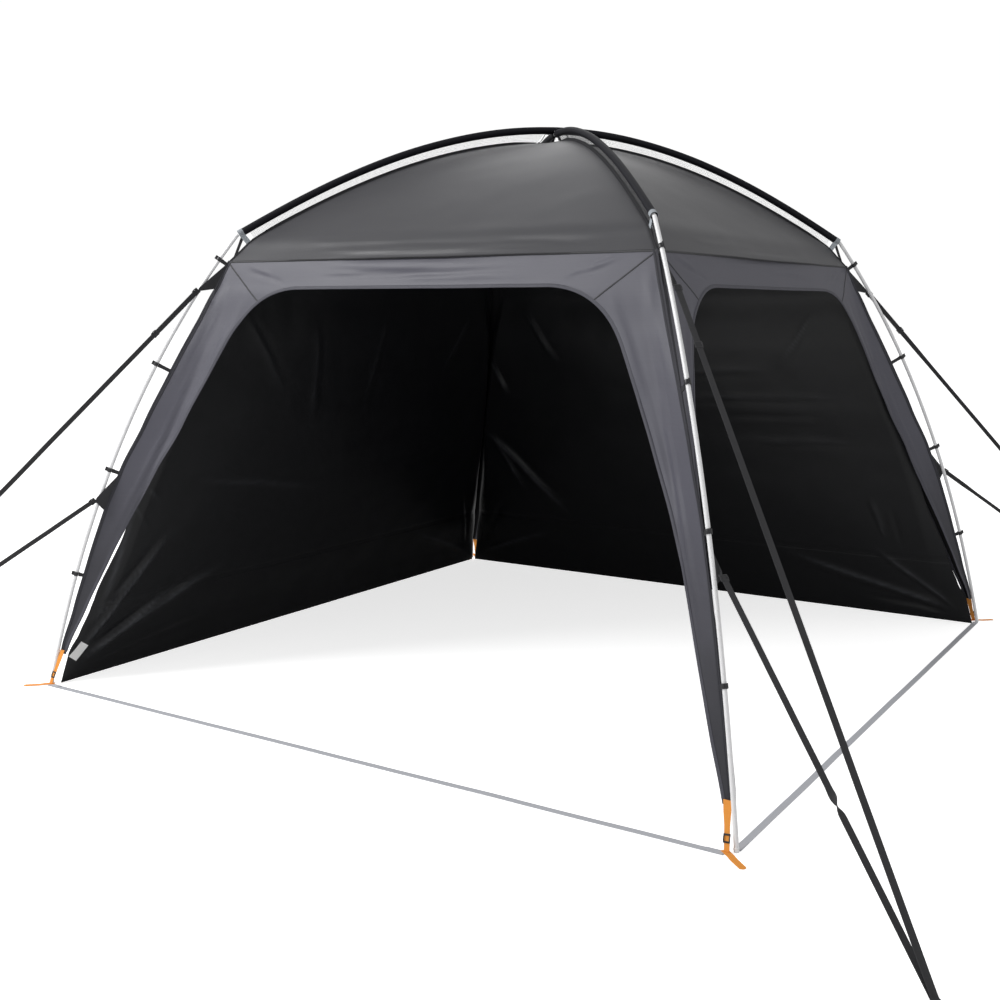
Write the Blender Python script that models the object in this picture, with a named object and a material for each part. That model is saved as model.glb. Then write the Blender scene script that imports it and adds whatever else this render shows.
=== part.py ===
"""Camping shelter: a square dome canopy on two crossed arch poles and four bowed leg poles.

Metres, +Z up, origin on the ground under the apex, front towards -Y. The canopy has four like
corners and four like faces, so a corner or a face is modelled once, at the front left corner or
at the front, and turned by quarter turns. A corner's own plane holds its diagonal: d is the
distance from the centre along it, z the height, and side the distance across it.
"""

import math

import bmesh
import bpy
from mathutils import Matrix, Vector

ROOT2 = math.sqrt(2.0)
FIT_GAP = 0.0003                     # between pieces that touch

FOOT = 1.500                         # pole foot from the centre, along X and along Y
SHOULDER_D = 1.314                   # where an arch pole meets a leg pole, on the diagonal
SHOULDER_Z = 1.804
APEX_Z = 2.2415                      # mean height of the two arch poles where they cross
ARCH_ROUNDNESS = -0.132              # share of the fourth power in the arch's drop
LEG_BOW = (1.867, 1.101)             # control point of a leg pole's curve, distance and height
POLE_R = 0.0075
POLE_SIDES = 8

FABRIC = 0.0025                      # thickness that the canopy and walls are modelled at
WEBBING = 0.0018

SLEEVE_BORE_GAP = 0.0004             # between a pole and its sleeve
SLEEVE_HALF_W = 0.0135               # a sleeve hangs a little below its pole
SLEEVE_DOWN = 0.0175
SLEEVE_START_D = (0.0108, 0.0148)    # a sleeve stops beside the crossing: upper arch, lower
SLEEVE_END_U = 0.996                 # and just short of the shoulder
WEB_START_D = 0.088
WEB_END_D = 1.272
WEB_THICK = 0.0024
HIP_DROP = 0.0455                    # the roof hangs this far under the arch's centreline

HIP_START_U = 0.006                  # the roof's first row, just off the apex
HIP_END_U = 0.975                    # the hip leaves the arch's curve here
SEAM_Z = 1.695                       # seam between roof and eave
SEAM_TURN = (0.55, 0.040)            # the roof's row above it: share of the way out, and rise
OPENING_Z = 1.583                    # top of a doorway
OPENING_HALF_W = 0.555               # straight part of the doorway's top
OPENING_TURN_Z = 1.380               # the doorway's corner curve starts here
PANEL_END_Z = 0.120                  # leg panels stop here, above the foot
PANEL_WIDTH = (0.010, 0.155, -0.012) # leg panel's width as a polynomial of the height
EDGE_TUCK = 0.065                    # a leg panel's free edge draws in this far at mid height
TUCK_SHARE = 0.09                    # and it fades out over this share of the half face
FACE_SAG = 0.012                     # the eave's middle draws in this far
ROOF_SAG = 0.018
# gap from a leg pole's centreline to the corner seam, at these heights
SEAM_GAP = (
    (0.00, 0.013), (0.15, 0.014), (0.30, 0.025), (0.50, 0.031), (0.70, 0.034), (0.86, 0.041),
    (1.05, 0.060), (1.25, 0.068), (1.45, 0.069), (1.58, 0.060), (1.70, 0.042),
)

TAPE_HALF_W = 0.008
CLIP_HEIGHTS = (1.705, 1.290, 0.868, 0.448)
CLIP_TALL = 0.016
CLIP_INNER_R = 0.0090
CLIP_OUTER_R = 0.0118
CLIP_SIDES = 12
CLIP_STRAP = (0.0035, 0.0075)        # half width and half height of a clip's short strap
CLIP_BITE = 0.001                    # its ends run this far into the tape and the clip
SPANS_BETWEEN_CLIPS = 3
MITRE_GAP = 0.0008

GUY_HALF_W = 0.010
GUY_SIDE = 0.0225                    # a guy strap passes beside its leg pole
GUY_GROUND_D = 3.040                 # where a guy strap meets the ground
GUY_TAIL = 0.050
UPPER_GUY = (1.474, 1.586)           # where each strap leaves its tab, distance and height
LOWER_GUY = (1.932, 0.735)
UPPER_TAB_Z = (1.688, 1.588)
LOWER_TAB_Z = (0.845, 0.705)
TAB_ROOT = (0.0012, 0.006)           # a tab's root on the tape: out from the seam, and across
FRONT_RIGHT_PEG_Y = -1.960           # the front right guys are pegged off their diagonal
BUCKLE_HALF_W = 0.014
BUCKLE_HALF_T = 0.0030
BUCKLE_STEP = 0.0005
TAB_BUCKLE = (0.0007, 0.026)         # start and length of a buckle along its strap
ADJUSTER = (0.235, 0.024)

GROUND_STRAP_HALF_W = 0.0125
FOOT_TAB_HALF_W = 0.011
FOOT_TAB_D = (2.085, 2.232)
RISER_INSET = 0.014                  # a foot strap's top end from the corner seam
RISER_TOP_HALF_W = 0.0125
RISER_FOOT = (1.480, 1.476, 0.0012)  # its lower end beside the pole's foot
RISER_FOOT_HALF_W = 0.0095

EAVE_ROWS = 3
WALL_TOP_Z = OPENING_Z + (SEAM_Z - FIT_GAP - OPENING_Z) / EAVE_ROWS
WALL_INSET = 0.040                   # walls hang this far inside the canopy's faces
WALL_GROUND_INSET = 0.031
WALL_END_DRAW = 0.006                # its top corners draw in this far
WALL_END_SHARE = 0.5                 # over this share of the doorway's turned end
WALL_TURN_Z = 1.300                  # a wall draws up to the eave from here
WALL_HANG_Z = 0.300                  # and out to the ground from here
WALL_ROW_Z = (0.26, 1.48)
# gap from the corner seam to a wall's side edge, at these heights: at an open corner, and where
# the two walls meet
WALL_EDGE = (
    (0.00, 0.006), (0.12, 0.010), (0.20, 0.034), (0.35, 0.048), (0.60, 0.077), (0.95, 0.065), (1.70, 0.050),
)
WALL_MEET_EDGE = (
    (0.00, 0.041), (0.15, 0.055), (0.35, 0.075), (0.60, 0.100), (0.90, 0.112), (1.15, 0.100), (1.40, 0.075),
    (1.70, 0.050),
)

PATCH_R = 0.080                      # patch over the roof's apex
PATCH_SIDES = 12
TIE_D = (0.070, 0.040)               # a tie's foot and top from the centre
TIE_HALF_W = 0.006
TIE_HALF_T = 0.0012

CORNERS = ("front_left", "front_right", "back_right", "back_left")
FACES = ("front", "right", "back", "left")
WALLED_FACES = ("back", "left")
STRAPPED_FACES = ("front", "right")

COLOURS = {
    "pole": ((0.86, 0.87, 0.88), 0.32, 0.55),
    "roof": ((0.045, 0.045, 0.050), 0.62, 0.0),
    "side": ((0.125, 0.125, 0.140), 0.66, 0.0),
    "wall": ((0.010, 0.010, 0.012), 0.72, 0.0),
    "sleeve": ((0.022, 0.023, 0.028), 0.80, 0.0),
    "web": ((0.70, 0.70, 0.73), 0.70, 0.0),
    "webbing": ((0.045, 0.045, 0.050), 0.75, 0.0),
    "pale_webbing": ((0.55, 0.56, 0.60), 0.75, 0.0),
    "orange_webbing": ((0.90, 0.35, 0.06), 0.70, 0.0),
}


def keyed(pairs, x):
    """The value at x of a curve through (x, value) pairs, eased between them."""
    if x <= pairs[0][0]:
        return pairs[0][1]
    for (x0, y0), (x1, y1) in zip(pairs, pairs[1:]):
        if x <= x1:
            t = (x - x0) / (x1 - x0)
            return y0 + (y1 - y0) * t * t * (3.0 - 2.0 * t)
    return pairs[-1][1]


def mix(a, b, t):
    return a + (b - a) * t


def spread(first, last, count):
    """count + 1 even values from first to last."""
    return [mix(first, last, i / count) for i in range(count + 1)]


def in_corner(d, side, z):
    """A point of the front left corner's plane in the shelter's own axes."""
    return Vector(((-d + side) / ROOT2, (-d - side) / ROOT2, z))


def on_face(along, out, z):
    """A point of the front face: along it from left to right, out from the centre, and up."""
    return Vector((along, -out, z))


def quarter_turns(points, k):
    turn = Matrix.Rotation(math.radians(90.0) * k, 3, "Z")
    return [turn @ p for p in points]


def arch_point(u, lift=0.0):
    """Distance and height of an arch pole at u, from 0 at the apex to 1 at the shoulder."""
    drop = (1.0 - ARCH_ROUNDNESS) * u ** 2 + ARCH_ROUNDNESS * u ** 4
    return SHOULDER_D * u, APEX_Z - (APEX_Z - SHOULDER_Z) * drop + lift * (1.0 - u ** 2)


def arch_normal(u):
    """Outward unit normal of an arch in its own plane."""
    step = 0.001
    d0, z0 = arch_point(u - step)
    d1, z1 = arch_point(u + step)
    length = math.hypot(d1 - d0, z1 - z0)
    return -(z1 - z0) / length, (d1 - d0) / length


def leg_point(t):
    """Distance and height of a leg pole's centreline, from the shoulder to the ground."""
    d = (1 - t) ** 2 * SHOULDER_D + 2 * t * (1 - t) * LEG_BOW[0] + t ** 2 * FOOT * ROOT2
    z = (1 - t) ** 2 * SHOULDER_Z + 2 * t * (1 - t) * LEG_BOW[1]
    return d, z


def leg_at(z):
    """A leg pole's distance from the centre at a height, solved from its curve."""
    a = SHOULDER_Z - 2 * LEG_BOW[1]
    b = 2 * (LEG_BOW[1] - SHOULDER_Z)
    c = SHOULDER_Z - z
    t = (-b - math.sqrt(b * b - 4 * a * c)) / (2 * a)
    return leg_point(t)[0]


def leg_heights():
    """Heights where a leg pole's curve is read, so that each clip sits at one of them."""
    marks = (SHOULDER_Z,) + CLIP_HEIGHTS + (WEBBING + FIT_GAP,)
    heights = [SHOULDER_Z]
    for high, low in zip(marks, marks[1:]):
        heights += spread(high, low, SPANS_BETWEEN_CLIPS)[1:]
    return heights


def seam_at(z):
    """The canopy's corner seam: distance from the centre at a height below the roof seam."""
    return leg_at(z) - keyed(SEAM_GAP, z)


def hip_point(u):
    """The roof's hip line under an arch, from the apex to just short of the shoulder."""
    d, z = arch_point(u)
    nd, nz = arch_normal(u)
    return d - HIP_DROP * nd, z - HIP_DROP * nz


def face_out(along, z):
    """How far out the canopy's face lies at a place along it and a height."""
    corner = seam_at(z) / ROOT2
    share = min(1.0, abs(along) / corner)
    sag = FACE_SAG * (1.0 - share * share) ** 2
    low, high = PANEL_END_Z, OPENING_Z
    rise = max(0.0, min(1.0, (z - low) / (high - low)))
    tuck = EDGE_TUCK * math.sin(math.pi * rise) * min(1.0, (1.0 - share) / TUCK_SHARE)
    return corner - sag - tuck


def panel_edge(z):
    """Where a leg panel's free edge lies along the face, below the doorway's corner curve."""
    a, b, c = PANEL_WIDTH
    return seam_at(z) / ROOT2 - (a + b * z + c * z * z)


def doorway_corner(t):
    """The doorway's corner curve, from its leg side to its straight top: along, height."""
    x0, z0 = panel_edge(OPENING_TURN_Z), OPENING_TURN_Z
    step = 0.02
    slope = (x0 - panel_edge(z0 - step)) / step
    x1, z1 = x0 + slope * (OPENING_Z - z0), OPENING_Z
    x2, z2 = OPENING_HALF_W, OPENING_Z
    along = (1 - t) ** 2 * x0 + 2 * t * (1 - t) * x1 + t * t * x2
    return along, (1 - t) ** 2 * z0 + 2 * t * (1 - t) * z1 + t * t * z2


def material(kind):
    name = "mat_" + kind
    found = bpy.data.materials.get(name)
    if found:
        return found
    colour, roughness, metallic = COLOURS[kind]
    made = bpy.data.materials.new(name)
    made.use_nodes = True
    shader = made.node_tree.nodes["Principled BSDF"]
    shader.inputs["Base Color"].default_value = (*colour, 1.0)
    shader.inputs["Roughness"].default_value = roughness
    shader.inputs["Metallic"].default_value = metallic
    return made


def add_object(name, bm, kind, smooth=False):
    bmesh.ops.recalc_face_normals(bm, faces=bm.faces)
    mesh = bpy.data.meshes.new(name)
    bm.to_mesh(mesh)
    bm.free()
    obj = bpy.data.objects.new(name, mesh)
    bpy.context.scene.collection.objects.link(obj)
    obj.data.materials.append(material(kind))
    if smooth:
        mesh.shade_smooth()
        mesh.set_sharp_from_angle(angle=math.radians(40))
    return obj


def add_loft(bm, rings, hole_rings=None):
    """Joins closed rings of points into a closed body, with capped ends or a hole through it."""
    outer = [[bm.verts.new(p) for p in ring] for ring in rings]
    count = len(rings[0])

    def wall(loops):
        for a, b in zip(loops, loops[1:]):
            for j in range(count):
                k = (j + 1) % count
                bm.faces.new((a[j], a[k], b[k], b[j]))

    wall(outer)
    if hole_rings is None:
        bm.faces.new(outer[0])
        bm.faces.new(outer[-1])
        return
    inner = [[bm.verts.new(p) for p in ring] for ring in hole_rings]
    wall(inner)
    for end in (0, -1):
        for j in range(count):
            k = (j + 1) % count
            bm.faces.new((outer[end][j], outer[end][k], inner[end][k], inner[end][j]))


def add_sheet(bm, outer, inner):
    """Joins two grids of points, an outer and an inner skin, into a closed sheet."""
    skins = [[[bm.verts.new(p) for p in row] for row in grid] for grid in (outer, inner)]
    rows, cols = len(outer), len(outer[0])
    for skin in skins:
        for i in range(rows - 1):
            for j in range(cols - 1):
                bm.faces.new((skin[i][j], skin[i + 1][j], skin[i + 1][j + 1], skin[i][j + 1]))
    top, under = skins
    for i in range(rows - 1):
        for j in (0, cols - 1):
            bm.faces.new((top[i][j], top[i + 1][j], under[i + 1][j], under[i][j]))
    for j in range(cols - 1):
        for i in (0, rows - 1):
            bm.faces.new((top[i][j], top[i][j + 1], under[i][j + 1], under[i][j]))


def plane_frames(points):
    """Unit normals, in the diagonal plane, of a curve given as (d, z) points."""
    frames = []
    for i in range(len(points)):
        d0, z0 = points[max(i - 1, 0)]
        d1, z1 = points[min(i + 1, len(points) - 1)]
        length = math.hypot(d1 - d0, z1 - z0)
        frames.append((-(z1 - z0) / length, (d1 - d0) / length))
    return frames


def swept_rings(curve, outline, normals=None):
    """Rings of an outline of (side, up) points carried along a (d, z) curve."""
    normals = normals or plane_frames(curve)
    rings = []
    for (d, z), (nd, nz) in zip(curve, normals):
        rings.append([in_corner(d + nd * up, side, z + nz * up) for side, up in outline])
    return rings


def round_outline(radius, sides=POLE_SIDES, up_scale=None):
    """A polygon round a pole; up_scale gives another reach below the centre."""
    points = []
    for i in range(sides):
        angle = 2 * math.pi * (i + 0.5) / sides
        side, up = radius * math.cos(angle), radius * math.sin(angle)
        if up_scale and up < 0:
            up *= up_scale
        points.append((side, up))
    return points


def arch_stations(k):
    """Values of u from the sleeve's inner end to the shoulder, shared by pole and sleeve."""
    return spread(SLEEVE_START_D[k % 2] / SHOULDER_D, SLEEVE_END_U, 16) + [1.0]


def arch_lift(k):
    """The arch from front left to back right passes over the other at the apex."""
    return (POLE_R + FIT_GAP / 2) * (-1 if k % 2 else 1)


def arch_curve(stations, lift):
    return [arch_point(u, lift) for u in stations]


def build_arch_poles():
    for k, name in ((0, "arch_pole_left"), (1, "arch_pole_right")):
        half = arch_stations(k)
        stations = [-u for u in reversed(half)] + half
        curve = arch_curve(stations, arch_lift(k))
        rings = swept_rings(curve, round_outline(POLE_R))
        bm = bmesh.new()
        add_loft(bm, [quarter_turns(ring, k) for ring in rings])
        add_object(name, bm, "pole", smooth=True)


def build_sleeve(k):
    curve = arch_curve(arch_stations(k), arch_lift(k))
    bore = round_outline(POLE_R + SLEEVE_BORE_GAP)
    skin = round_outline(SLEEVE_HALF_W, up_scale=SLEEVE_DOWN / SLEEVE_HALF_W)
    normals = plane_frames(curve)
    bm = bmesh.new()
    outer = [quarter_turns(r, k) for r in swept_rings(curve[:-1], skin, normals)]
    inner = [quarter_turns(r, k) for r in swept_rings(curve[:-1], bore, normals)]
    add_loft(bm, outer, inner)
    add_object("pole_sleeve_" + CORNERS[k], bm, "sleeve", smooth=True)


def build_web(k):
    """The strip of net that hangs the roof from a sleeve."""
    stations = spread(WEB_START_D / SHOULDER_D, WEB_END_D / SHOULDER_D, 14)
    half = WEB_THICK / 2
    rings = []
    for u in stations:
        top_d, top_z = arch_point(u, arch_lift(k))
        nd, nz = arch_normal(u)
        top_down = SLEEVE_DOWN * math.cos(math.pi / POLE_SIDES) + 2 * FIT_GAP
        top_d, top_z = top_d - nd * top_down, top_z - nz * top_down
        low_d, low_z = hip_point(u)
        low_d, low_z = low_d + nd * 2 * FIT_GAP, low_z + nz * 2 * FIT_GAP
        ring = [
            in_corner(top_d, -half, top_z),
            in_corner(top_d, half, top_z),
            in_corner(low_d, half, low_z),
            in_corner(low_d, -half, low_z),
        ]
        rings.append(quarter_turns(ring, k))
    bm = bmesh.new()
    add_loft(bm, rings)
    add_object("sleeve_web_" + CORNERS[k], bm, "web")


def build_leg_pole(k):
    curve = [(leg_at(z), z) for z in leg_heights()]
    curve[0] = (curve[0][0] + FIT_GAP, curve[0][1])
    normals = plane_frames(curve)
    normals[0] = arch_normal(1.0)
    normals[-1] = (1.0, 0.0)
    bm = bmesh.new()
    add_loft(bm, [quarter_turns(r, k) for r in swept_rings(curve, round_outline(POLE_R), normals)])
    add_object("leg_pole_" + CORNERS[k], bm, "pole", smooth=True)


def roof_profile():
    """Rows of a roof panel as (out, height), from the apex to the seam over the eave."""
    rows = [hip_point(u) for u in spread(HIP_START_U, HIP_END_U, 12)]
    share, rise = SEAM_TURN
    rows.append((mix(rows[-1][0], seam_at(SEAM_Z), share), SEAM_Z + rise))
    rows.append((seam_at(SEAM_Z), SEAM_Z))
    return rows


def build_roof_panel(k):
    profile = [(d / ROOT2, z) for d, z in roof_profile()]
    normals = plane_frames(profile)
    cols = 10
    outer, inner = [], []
    for index, ((out, z), (n_out, n_z)) in enumerate(zip(profile, normals)):
        last = index == len(profile) - 1
        rise = math.sin(math.pi * index / (len(profile) - 1))
        rows = []
        for depth in (0.0, FABRIC):
            row_out = out - depth * n_out
            row_z = z - depth * n_z
            if last:
                row_out, row_z = out - depth, z
            half = row_out - FIT_GAP
            row = []
            for share in spread(-1.0, 1.0, cols):
                sag = ROOF_SAG * rise * (1.0 - share * share)
                row.append(on_face(half * share, row_out - sag * n_out, row_z - sag * n_z))
            rows.append(quarter_turns(row, k))
        outer.append(rows[0])
        inner.append(rows[1])
    bm = bmesh.new()
    add_sheet(bm, outer, inner)
    add_object("roof_panel_" + FACES[k], bm, "roof", smooth=True)


def build_eave(k):
    """The band between the roof seam and a doorway's top, mitred at both ends."""
    corner = seam_at(SEAM_Z) / ROOT2 - MITRE_GAP
    turn, straight = 4, 8
    edge = [doorway_corner(t) for t in spread(0.5, 1.0, turn)]
    edge += [(along, OPENING_Z) for along in spread(OPENING_HALF_W, 0.0, straight // 2)[1:]]
    low = [(-a, z) for a, z in edge] + [(a, z) for a, z in reversed(edge[:-1])]
    reach = abs(low[0][0])
    outer, inner = [], []
    for along, z in low:
        foot_along = along * (1.0 - MITRE_GAP / reach)
        rows = []
        for depth in (0.0, FABRIC):
            top_along = (corner - depth) * along / reach
            column = []
            for share in spread(0.0, 1.0, EAVE_ROWS):
                x = mix(top_along, foot_along, share)
                height = mix(SEAM_Z - FIT_GAP, z, share)
                column.append(on_face(x, face_out(x, height) - depth, height))
            rows.append(quarter_turns(column, k))
        outer.append(rows[0])
        inner.append(rows[1])
    bm = bmesh.new()
    add_sheet(bm, outer, inner)
    add_object("eave_" + FACES[k], bm, "side", smooth=True)


def leg_panel_rows():
    """Each row of a leg panel's half: the seam's height, and the free edge's place and height."""
    rows = [(z, panel_edge(z), z) for z in spread(PANEL_END_Z, OPENING_TURN_Z, 11)]
    for t in spread(0.0, 1.0, 5)[1:]:
        along, z = doorway_corner(t / 2)
        rows.append((mix(OPENING_TURN_Z, SEAM_Z - FIT_GAP, t), along, z))
    return rows


def build_leg_panel(k):
    """Two tapering halves that meet at the corner seam."""
    cols = 5
    outer, inner = [], []
    for seam_z, edge, edge_z in leg_panel_rows():
        corner = seam_at(seam_z) / ROOT2
        half = []
        for share in spread(1.0, 0.0, cols)[:-1]:
            along = mix(corner, edge, share)
            z = mix(seam_z, edge_z, share)
            half.append((along, face_out(along, z), z))
        rows = []
        for depth in (0.0, FABRIC):
            front = [Vector((-along, -(out - depth), z)) for along, out, z in half]
            seam = [Vector((-(corner - depth), -(corner - depth), seam_z))]
            left = [Vector((-(out - depth), -along, z)) for along, out, z in reversed(half)]
            rows.append(quarter_turns(front + seam + left, k))
        outer.append(rows[0])
        inner.append(rows[1])
    bm = bmesh.new()
    add_sheet(bm, outer, inner)
    add_object("leg_panel_" + CORNERS[k], bm, "side", smooth=True)


def add_prism(bm, triangle, thickness):
    """A flat triangle of webbing with a thickness across it."""
    a, b, c = triangle
    normal = (b - a).cross(c - a).normalized() * (thickness / 2)
    add_loft(bm, [[p - normal for p in triangle], [p + normal for p in triangle]])


def leg_slope(z):
    """How fast a leg pole's distance changes with the height."""
    step = 0.01
    return (leg_at(z + step) - leg_at(z - step)) / (2 * step)


def clip_root(z):
    """Where a clip's strap leaves the corner seam: square to the pole, so lower than the clip."""
    low = z
    for _ in range(12):
        low = z + leg_slope(z) * (leg_at(z) - seam_at(low))
    return seam_at(low), low


def add_clip(bm, k, z):
    """A hook round a leg pole on its short strap from the corner tape."""
    d = leg_at(z)
    slope = leg_slope(z)
    tilt = math.hypot(slope, 1.0)
    curve = [(d - slope * CLIP_TALL * s / tilt, z - CLIP_TALL * s / tilt) for s in (-0.5, 0.5)]
    normals = [(1.0 / tilt, -slope / tilt)] * 2
    outer = swept_rings(curve, round_outline(CLIP_OUTER_R, CLIP_SIDES), normals)
    bore = swept_rings(curve, round_outline(CLIP_INNER_R, CLIP_SIDES), normals)
    add_loft(bm, [quarter_turns(r, k) for r in outer], [quarter_turns(r, k) for r in bore])
    root_d, root_z = clip_root(z)
    back_d, back_z = root_d - d, root_z - z
    reach = math.hypot(back_d, back_z)
    half_w, half_h = CLIP_STRAP
    rings = []
    for back in (reach - CLIP_BITE, CLIP_INNER_R + CLIP_BITE):
        at_d, at_z = d + back_d * back / reach, z + back_z * back / reach
        rings.append([
            in_corner(at_d + slope * b * half_h / tilt, a * half_w, at_z + b * half_h / tilt)
            for a, b in ((-1, -1), (1, -1), (1, 1), (-1, 1))
        ])
    add_loft(bm, [quarter_turns(r, k) for r in rings])


def add_guy_tab(bm, k, heights, start):
    """A triangular tab from the corner tape out to a guy strap's buckle."""
    high, low = heights
    out, across = TAB_ROOT
    points = [
        in_corner(seam_at(high) + out, across, high),
        in_corner(seam_at(low) + out, across, low),
        in_corner(start[0], GUY_SIDE, start[1]),
    ]
    add_prism(bm, quarter_turns(points, k), WEBBING)


def build_corner_tape(k):
    """The bound corner seam with its clips and guy tabs, sewn up as one."""
    curve = roof_profile()[-3:-1]
    curve += [(seam_at(row[0]), row[0]) for row in reversed(leg_panel_rows())]
    low = FIT_GAP * 1.5
    outline = [
        (-TAPE_HALF_W, low), (TAPE_HALF_W, low),
        (TAPE_HALF_W, low + WEBBING), (-TAPE_HALF_W, low + WEBBING),
    ]
    bm = bmesh.new()
    add_loft(bm, [quarter_turns(r, k) for r in swept_rings(curve, outline)])
    tape = add_object("corner_tape_" + CORNERS[k], bm, "webbing")
    bm = bmesh.new()
    for z in CLIP_HEIGHTS:
        add_clip(bm, k, z)
    add_guy_tab(bm, k, UPPER_TAB_Z, UPPER_GUY)
    add_guy_tab(bm, k, LOWER_TAB_Z, LOWER_GUY)
    sewn_on = add_object("cutter_tape_fittings_" + CORNERS[k], bm, "webbing")
    join_on(tape, sewn_on)


def join_on(obj, other):
    """Adds a hidden object's bodies to an object by a Boolean union."""
    other.hide_render = True
    other.display_type = "WIRE"
    union = obj.modifiers.new("join", "BOOLEAN")
    union.operation = "UNION"
    union.solver = "EXACT"
    union.use_self = True
    union.object = other


def guy_ground_point(k, extreme):
    """Where the corner's guys end: on its diagonal, but pegged nearer the side at front right."""
    if k == 1:
        return Vector((extreme - GUY_HALF_W / ROOT2, FRONT_RIGHT_PEG_Y - GUY_TAIL / ROOT2, 0.0))
    return quarter_turns([in_corner(GUY_GROUND_D + GUY_TAIL, GUY_SIDE, 0.0)], k)[0]


def build_guy(k, name, start, floor_z, adjusters):
    """A flat strap from its tab to the ground, with its buckles, and its end flat on the floor."""
    top = quarter_turns([in_corner(start[0], GUY_SIDE, start[1])], k)[0]
    extreme = (GUY_GROUND_D + GUY_TAIL + GUY_SIDE + GUY_HALF_W) / ROOT2
    end = guy_ground_point(k, extreme)
    flat = Vector((end.x - top.x, end.y - top.y, 0.0)).normalized()
    side = Vector((-flat.y, flat.x, 0.0))
    land = end - flat * GUY_TAIL
    mid_z = floor_z + WEBBING / 2
    land.z = end.z = mid_z
    slope = (land - top).normalized()
    length = (land - top).length
    normal = side.cross(slope)
    stations = []
    for at, reach in adjusters:
        strap, buckle = (GUY_HALF_W, WEBBING / 2), (BUCKLE_HALF_W, BUCKLE_HALF_T)
        steps = ((at, buckle), (at + reach, buckle), (at + reach + BUCKLE_STEP, strap))
        if stations:
            steps = ((at - BUCKLE_STEP, strap),) + steps
        stations += [(top + slope * dist, normal, width, thick) for dist, (width, thick) in steps]
    turn = (normal + Vector((0, 0, normal.z / abs(normal.z)))).normalized()
    stretch = 1.0 / turn.dot(normal)
    stations.append((top + slope * length, turn, GUY_HALF_W, WEBBING / 2 * stretch))
    stations.append((end, Vector((0, 0, normal.z / abs(normal.z))), GUY_HALF_W, WEBBING / 2))
    rings = []
    for point, up, width, thick in stations:
        rings.append([
            point + side * (a * width) + up * (b * thick)
            for a, b in ((-1, -1), (1, -1), (1, 1), (-1, 1))
        ])
    bm = bmesh.new()
    add_loft(bm, rings)
    add_object(name, bm, "webbing")


def build_guys(k):
    build_guy(k, "guy_strap_lower_" + CORNERS[k], LOWER_GUY, 0.0, (TAB_BUCKLE,))
    over = WEBBING + 4 * FIT_GAP
    build_guy(k, "guy_strap_upper_" + CORNERS[k], UPPER_GUY, over, (TAB_BUCKLE, ADJUSTER))


def build_foot_strap(k):
    """The strap that ties a leg panel to its foot, with the peg tab that lies outward of it."""
    sx = -1 if k in (0, 3) else 1
    sy = -1 if k in (0, 1) else 1
    half = FOOT_TAB_HALF_W
    outward = Vector((sx, sy, 0.0)) / ROOT2
    side = Vector((-outward.y, outward.x, 0.0))
    rings = []
    for dist in FOOT_TAB_D:
        middle = outward * dist
        rings.append([
            middle + side * (a * half) + Vector((0, 0, z))
            for a, z in ((-1, 0.0), (1, 0.0), (1, WEBBING), (-1, WEBBING))
        ])
    bm = bmesh.new()
    add_loft(bm, rings)
    tab = add_object("foot_strap_" + CORNERS[k], bm, "orange_webbing")
    top_along = seam_at(PANEL_END_Z) / ROOT2 - RISER_INSET
    top_out = face_out(top_along, PANEL_END_Z) - WEBBING
    rise = (
        (top_along, top_out, PANEL_END_Z - FIT_GAP, RISER_TOP_HALF_W),
        (*RISER_FOOT, RISER_FOOT_HALF_W),
    )
    rings = []
    for x, y, z, half_w in rise:
        rings.append([
            Vector((sx * (x + a * half_w), sy * (y + b * WEBBING / 2), z))
            for a, b in ((-1, -1), (1, -1), (1, 1), (-1, 1))
        ])
    bm = bmesh.new()
    add_loft(bm, rings)
    riser = add_object("cutter_foot_riser_" + CORNERS[k], bm, "orange_webbing")
    join_on(tab, riser)


def build_ground_strap(k):
    """The strap along the ground between two feet, under an open side."""
    end = FOOT - GROUND_STRAP_HALF_W - (FOOT_TAB_HALF_W + FIT_GAP) * ROOT2
    rings = []
    for along in spread(-end, end, 6):
        ring = [
            on_face(along, FOOT + a * GROUND_STRAP_HALF_W, z)
            for a, z in ((-1, 0.0), (1, 0.0), (1, WEBBING), (-1, WEBBING))
        ]
        rings.append(quarter_turns(ring, k))
    bm = bmesh.new()
    add_loft(bm, rings)
    add_object("ground_strap_" + FACES[k], bm, "pale_webbing")


def wall_out(along, z):
    """How far out a wall hangs: flush with the eave at its top, and free of the legs below."""
    ends = max(0.0, (abs(along) - OPENING_HALF_W) / (SHOULDER_D / ROOT2 - OPENING_HALF_W))
    flush = FABRIC + 2 * FIT_GAP + WALL_END_DRAW * min(1.0, ends / WALL_END_SHARE)
    if z >= OPENING_Z:
        inset = flush
    elif z > WALL_TURN_Z:
        inset = keyed(((WALL_TURN_Z, WALL_INSET), (OPENING_Z, flush)), z)
    else:
        inset = keyed(((0.0, WALL_GROUND_INSET), (WALL_HANG_Z, WALL_INSET)), z)
    if z >= PANEL_END_Z:
        return face_out(along, z) - inset
    return seam_at(z) / ROOT2 - inset - FACE_SAG * (1.0 - (along / FOOT) ** 2) ** 2 * z / PANEL_END_Z


def wall_ends(k, z):
    """Where a wall's two side edges lie along its face at a height."""
    corner = seam_at(z) / ROOT2
    free, meeting = corner - keyed(WALL_EDGE, z), corner - keyed(WALL_MEET_EDGE, z)
    return (-free, meeting) if FACES[k] == "back" else (-meeting, free)


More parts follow.
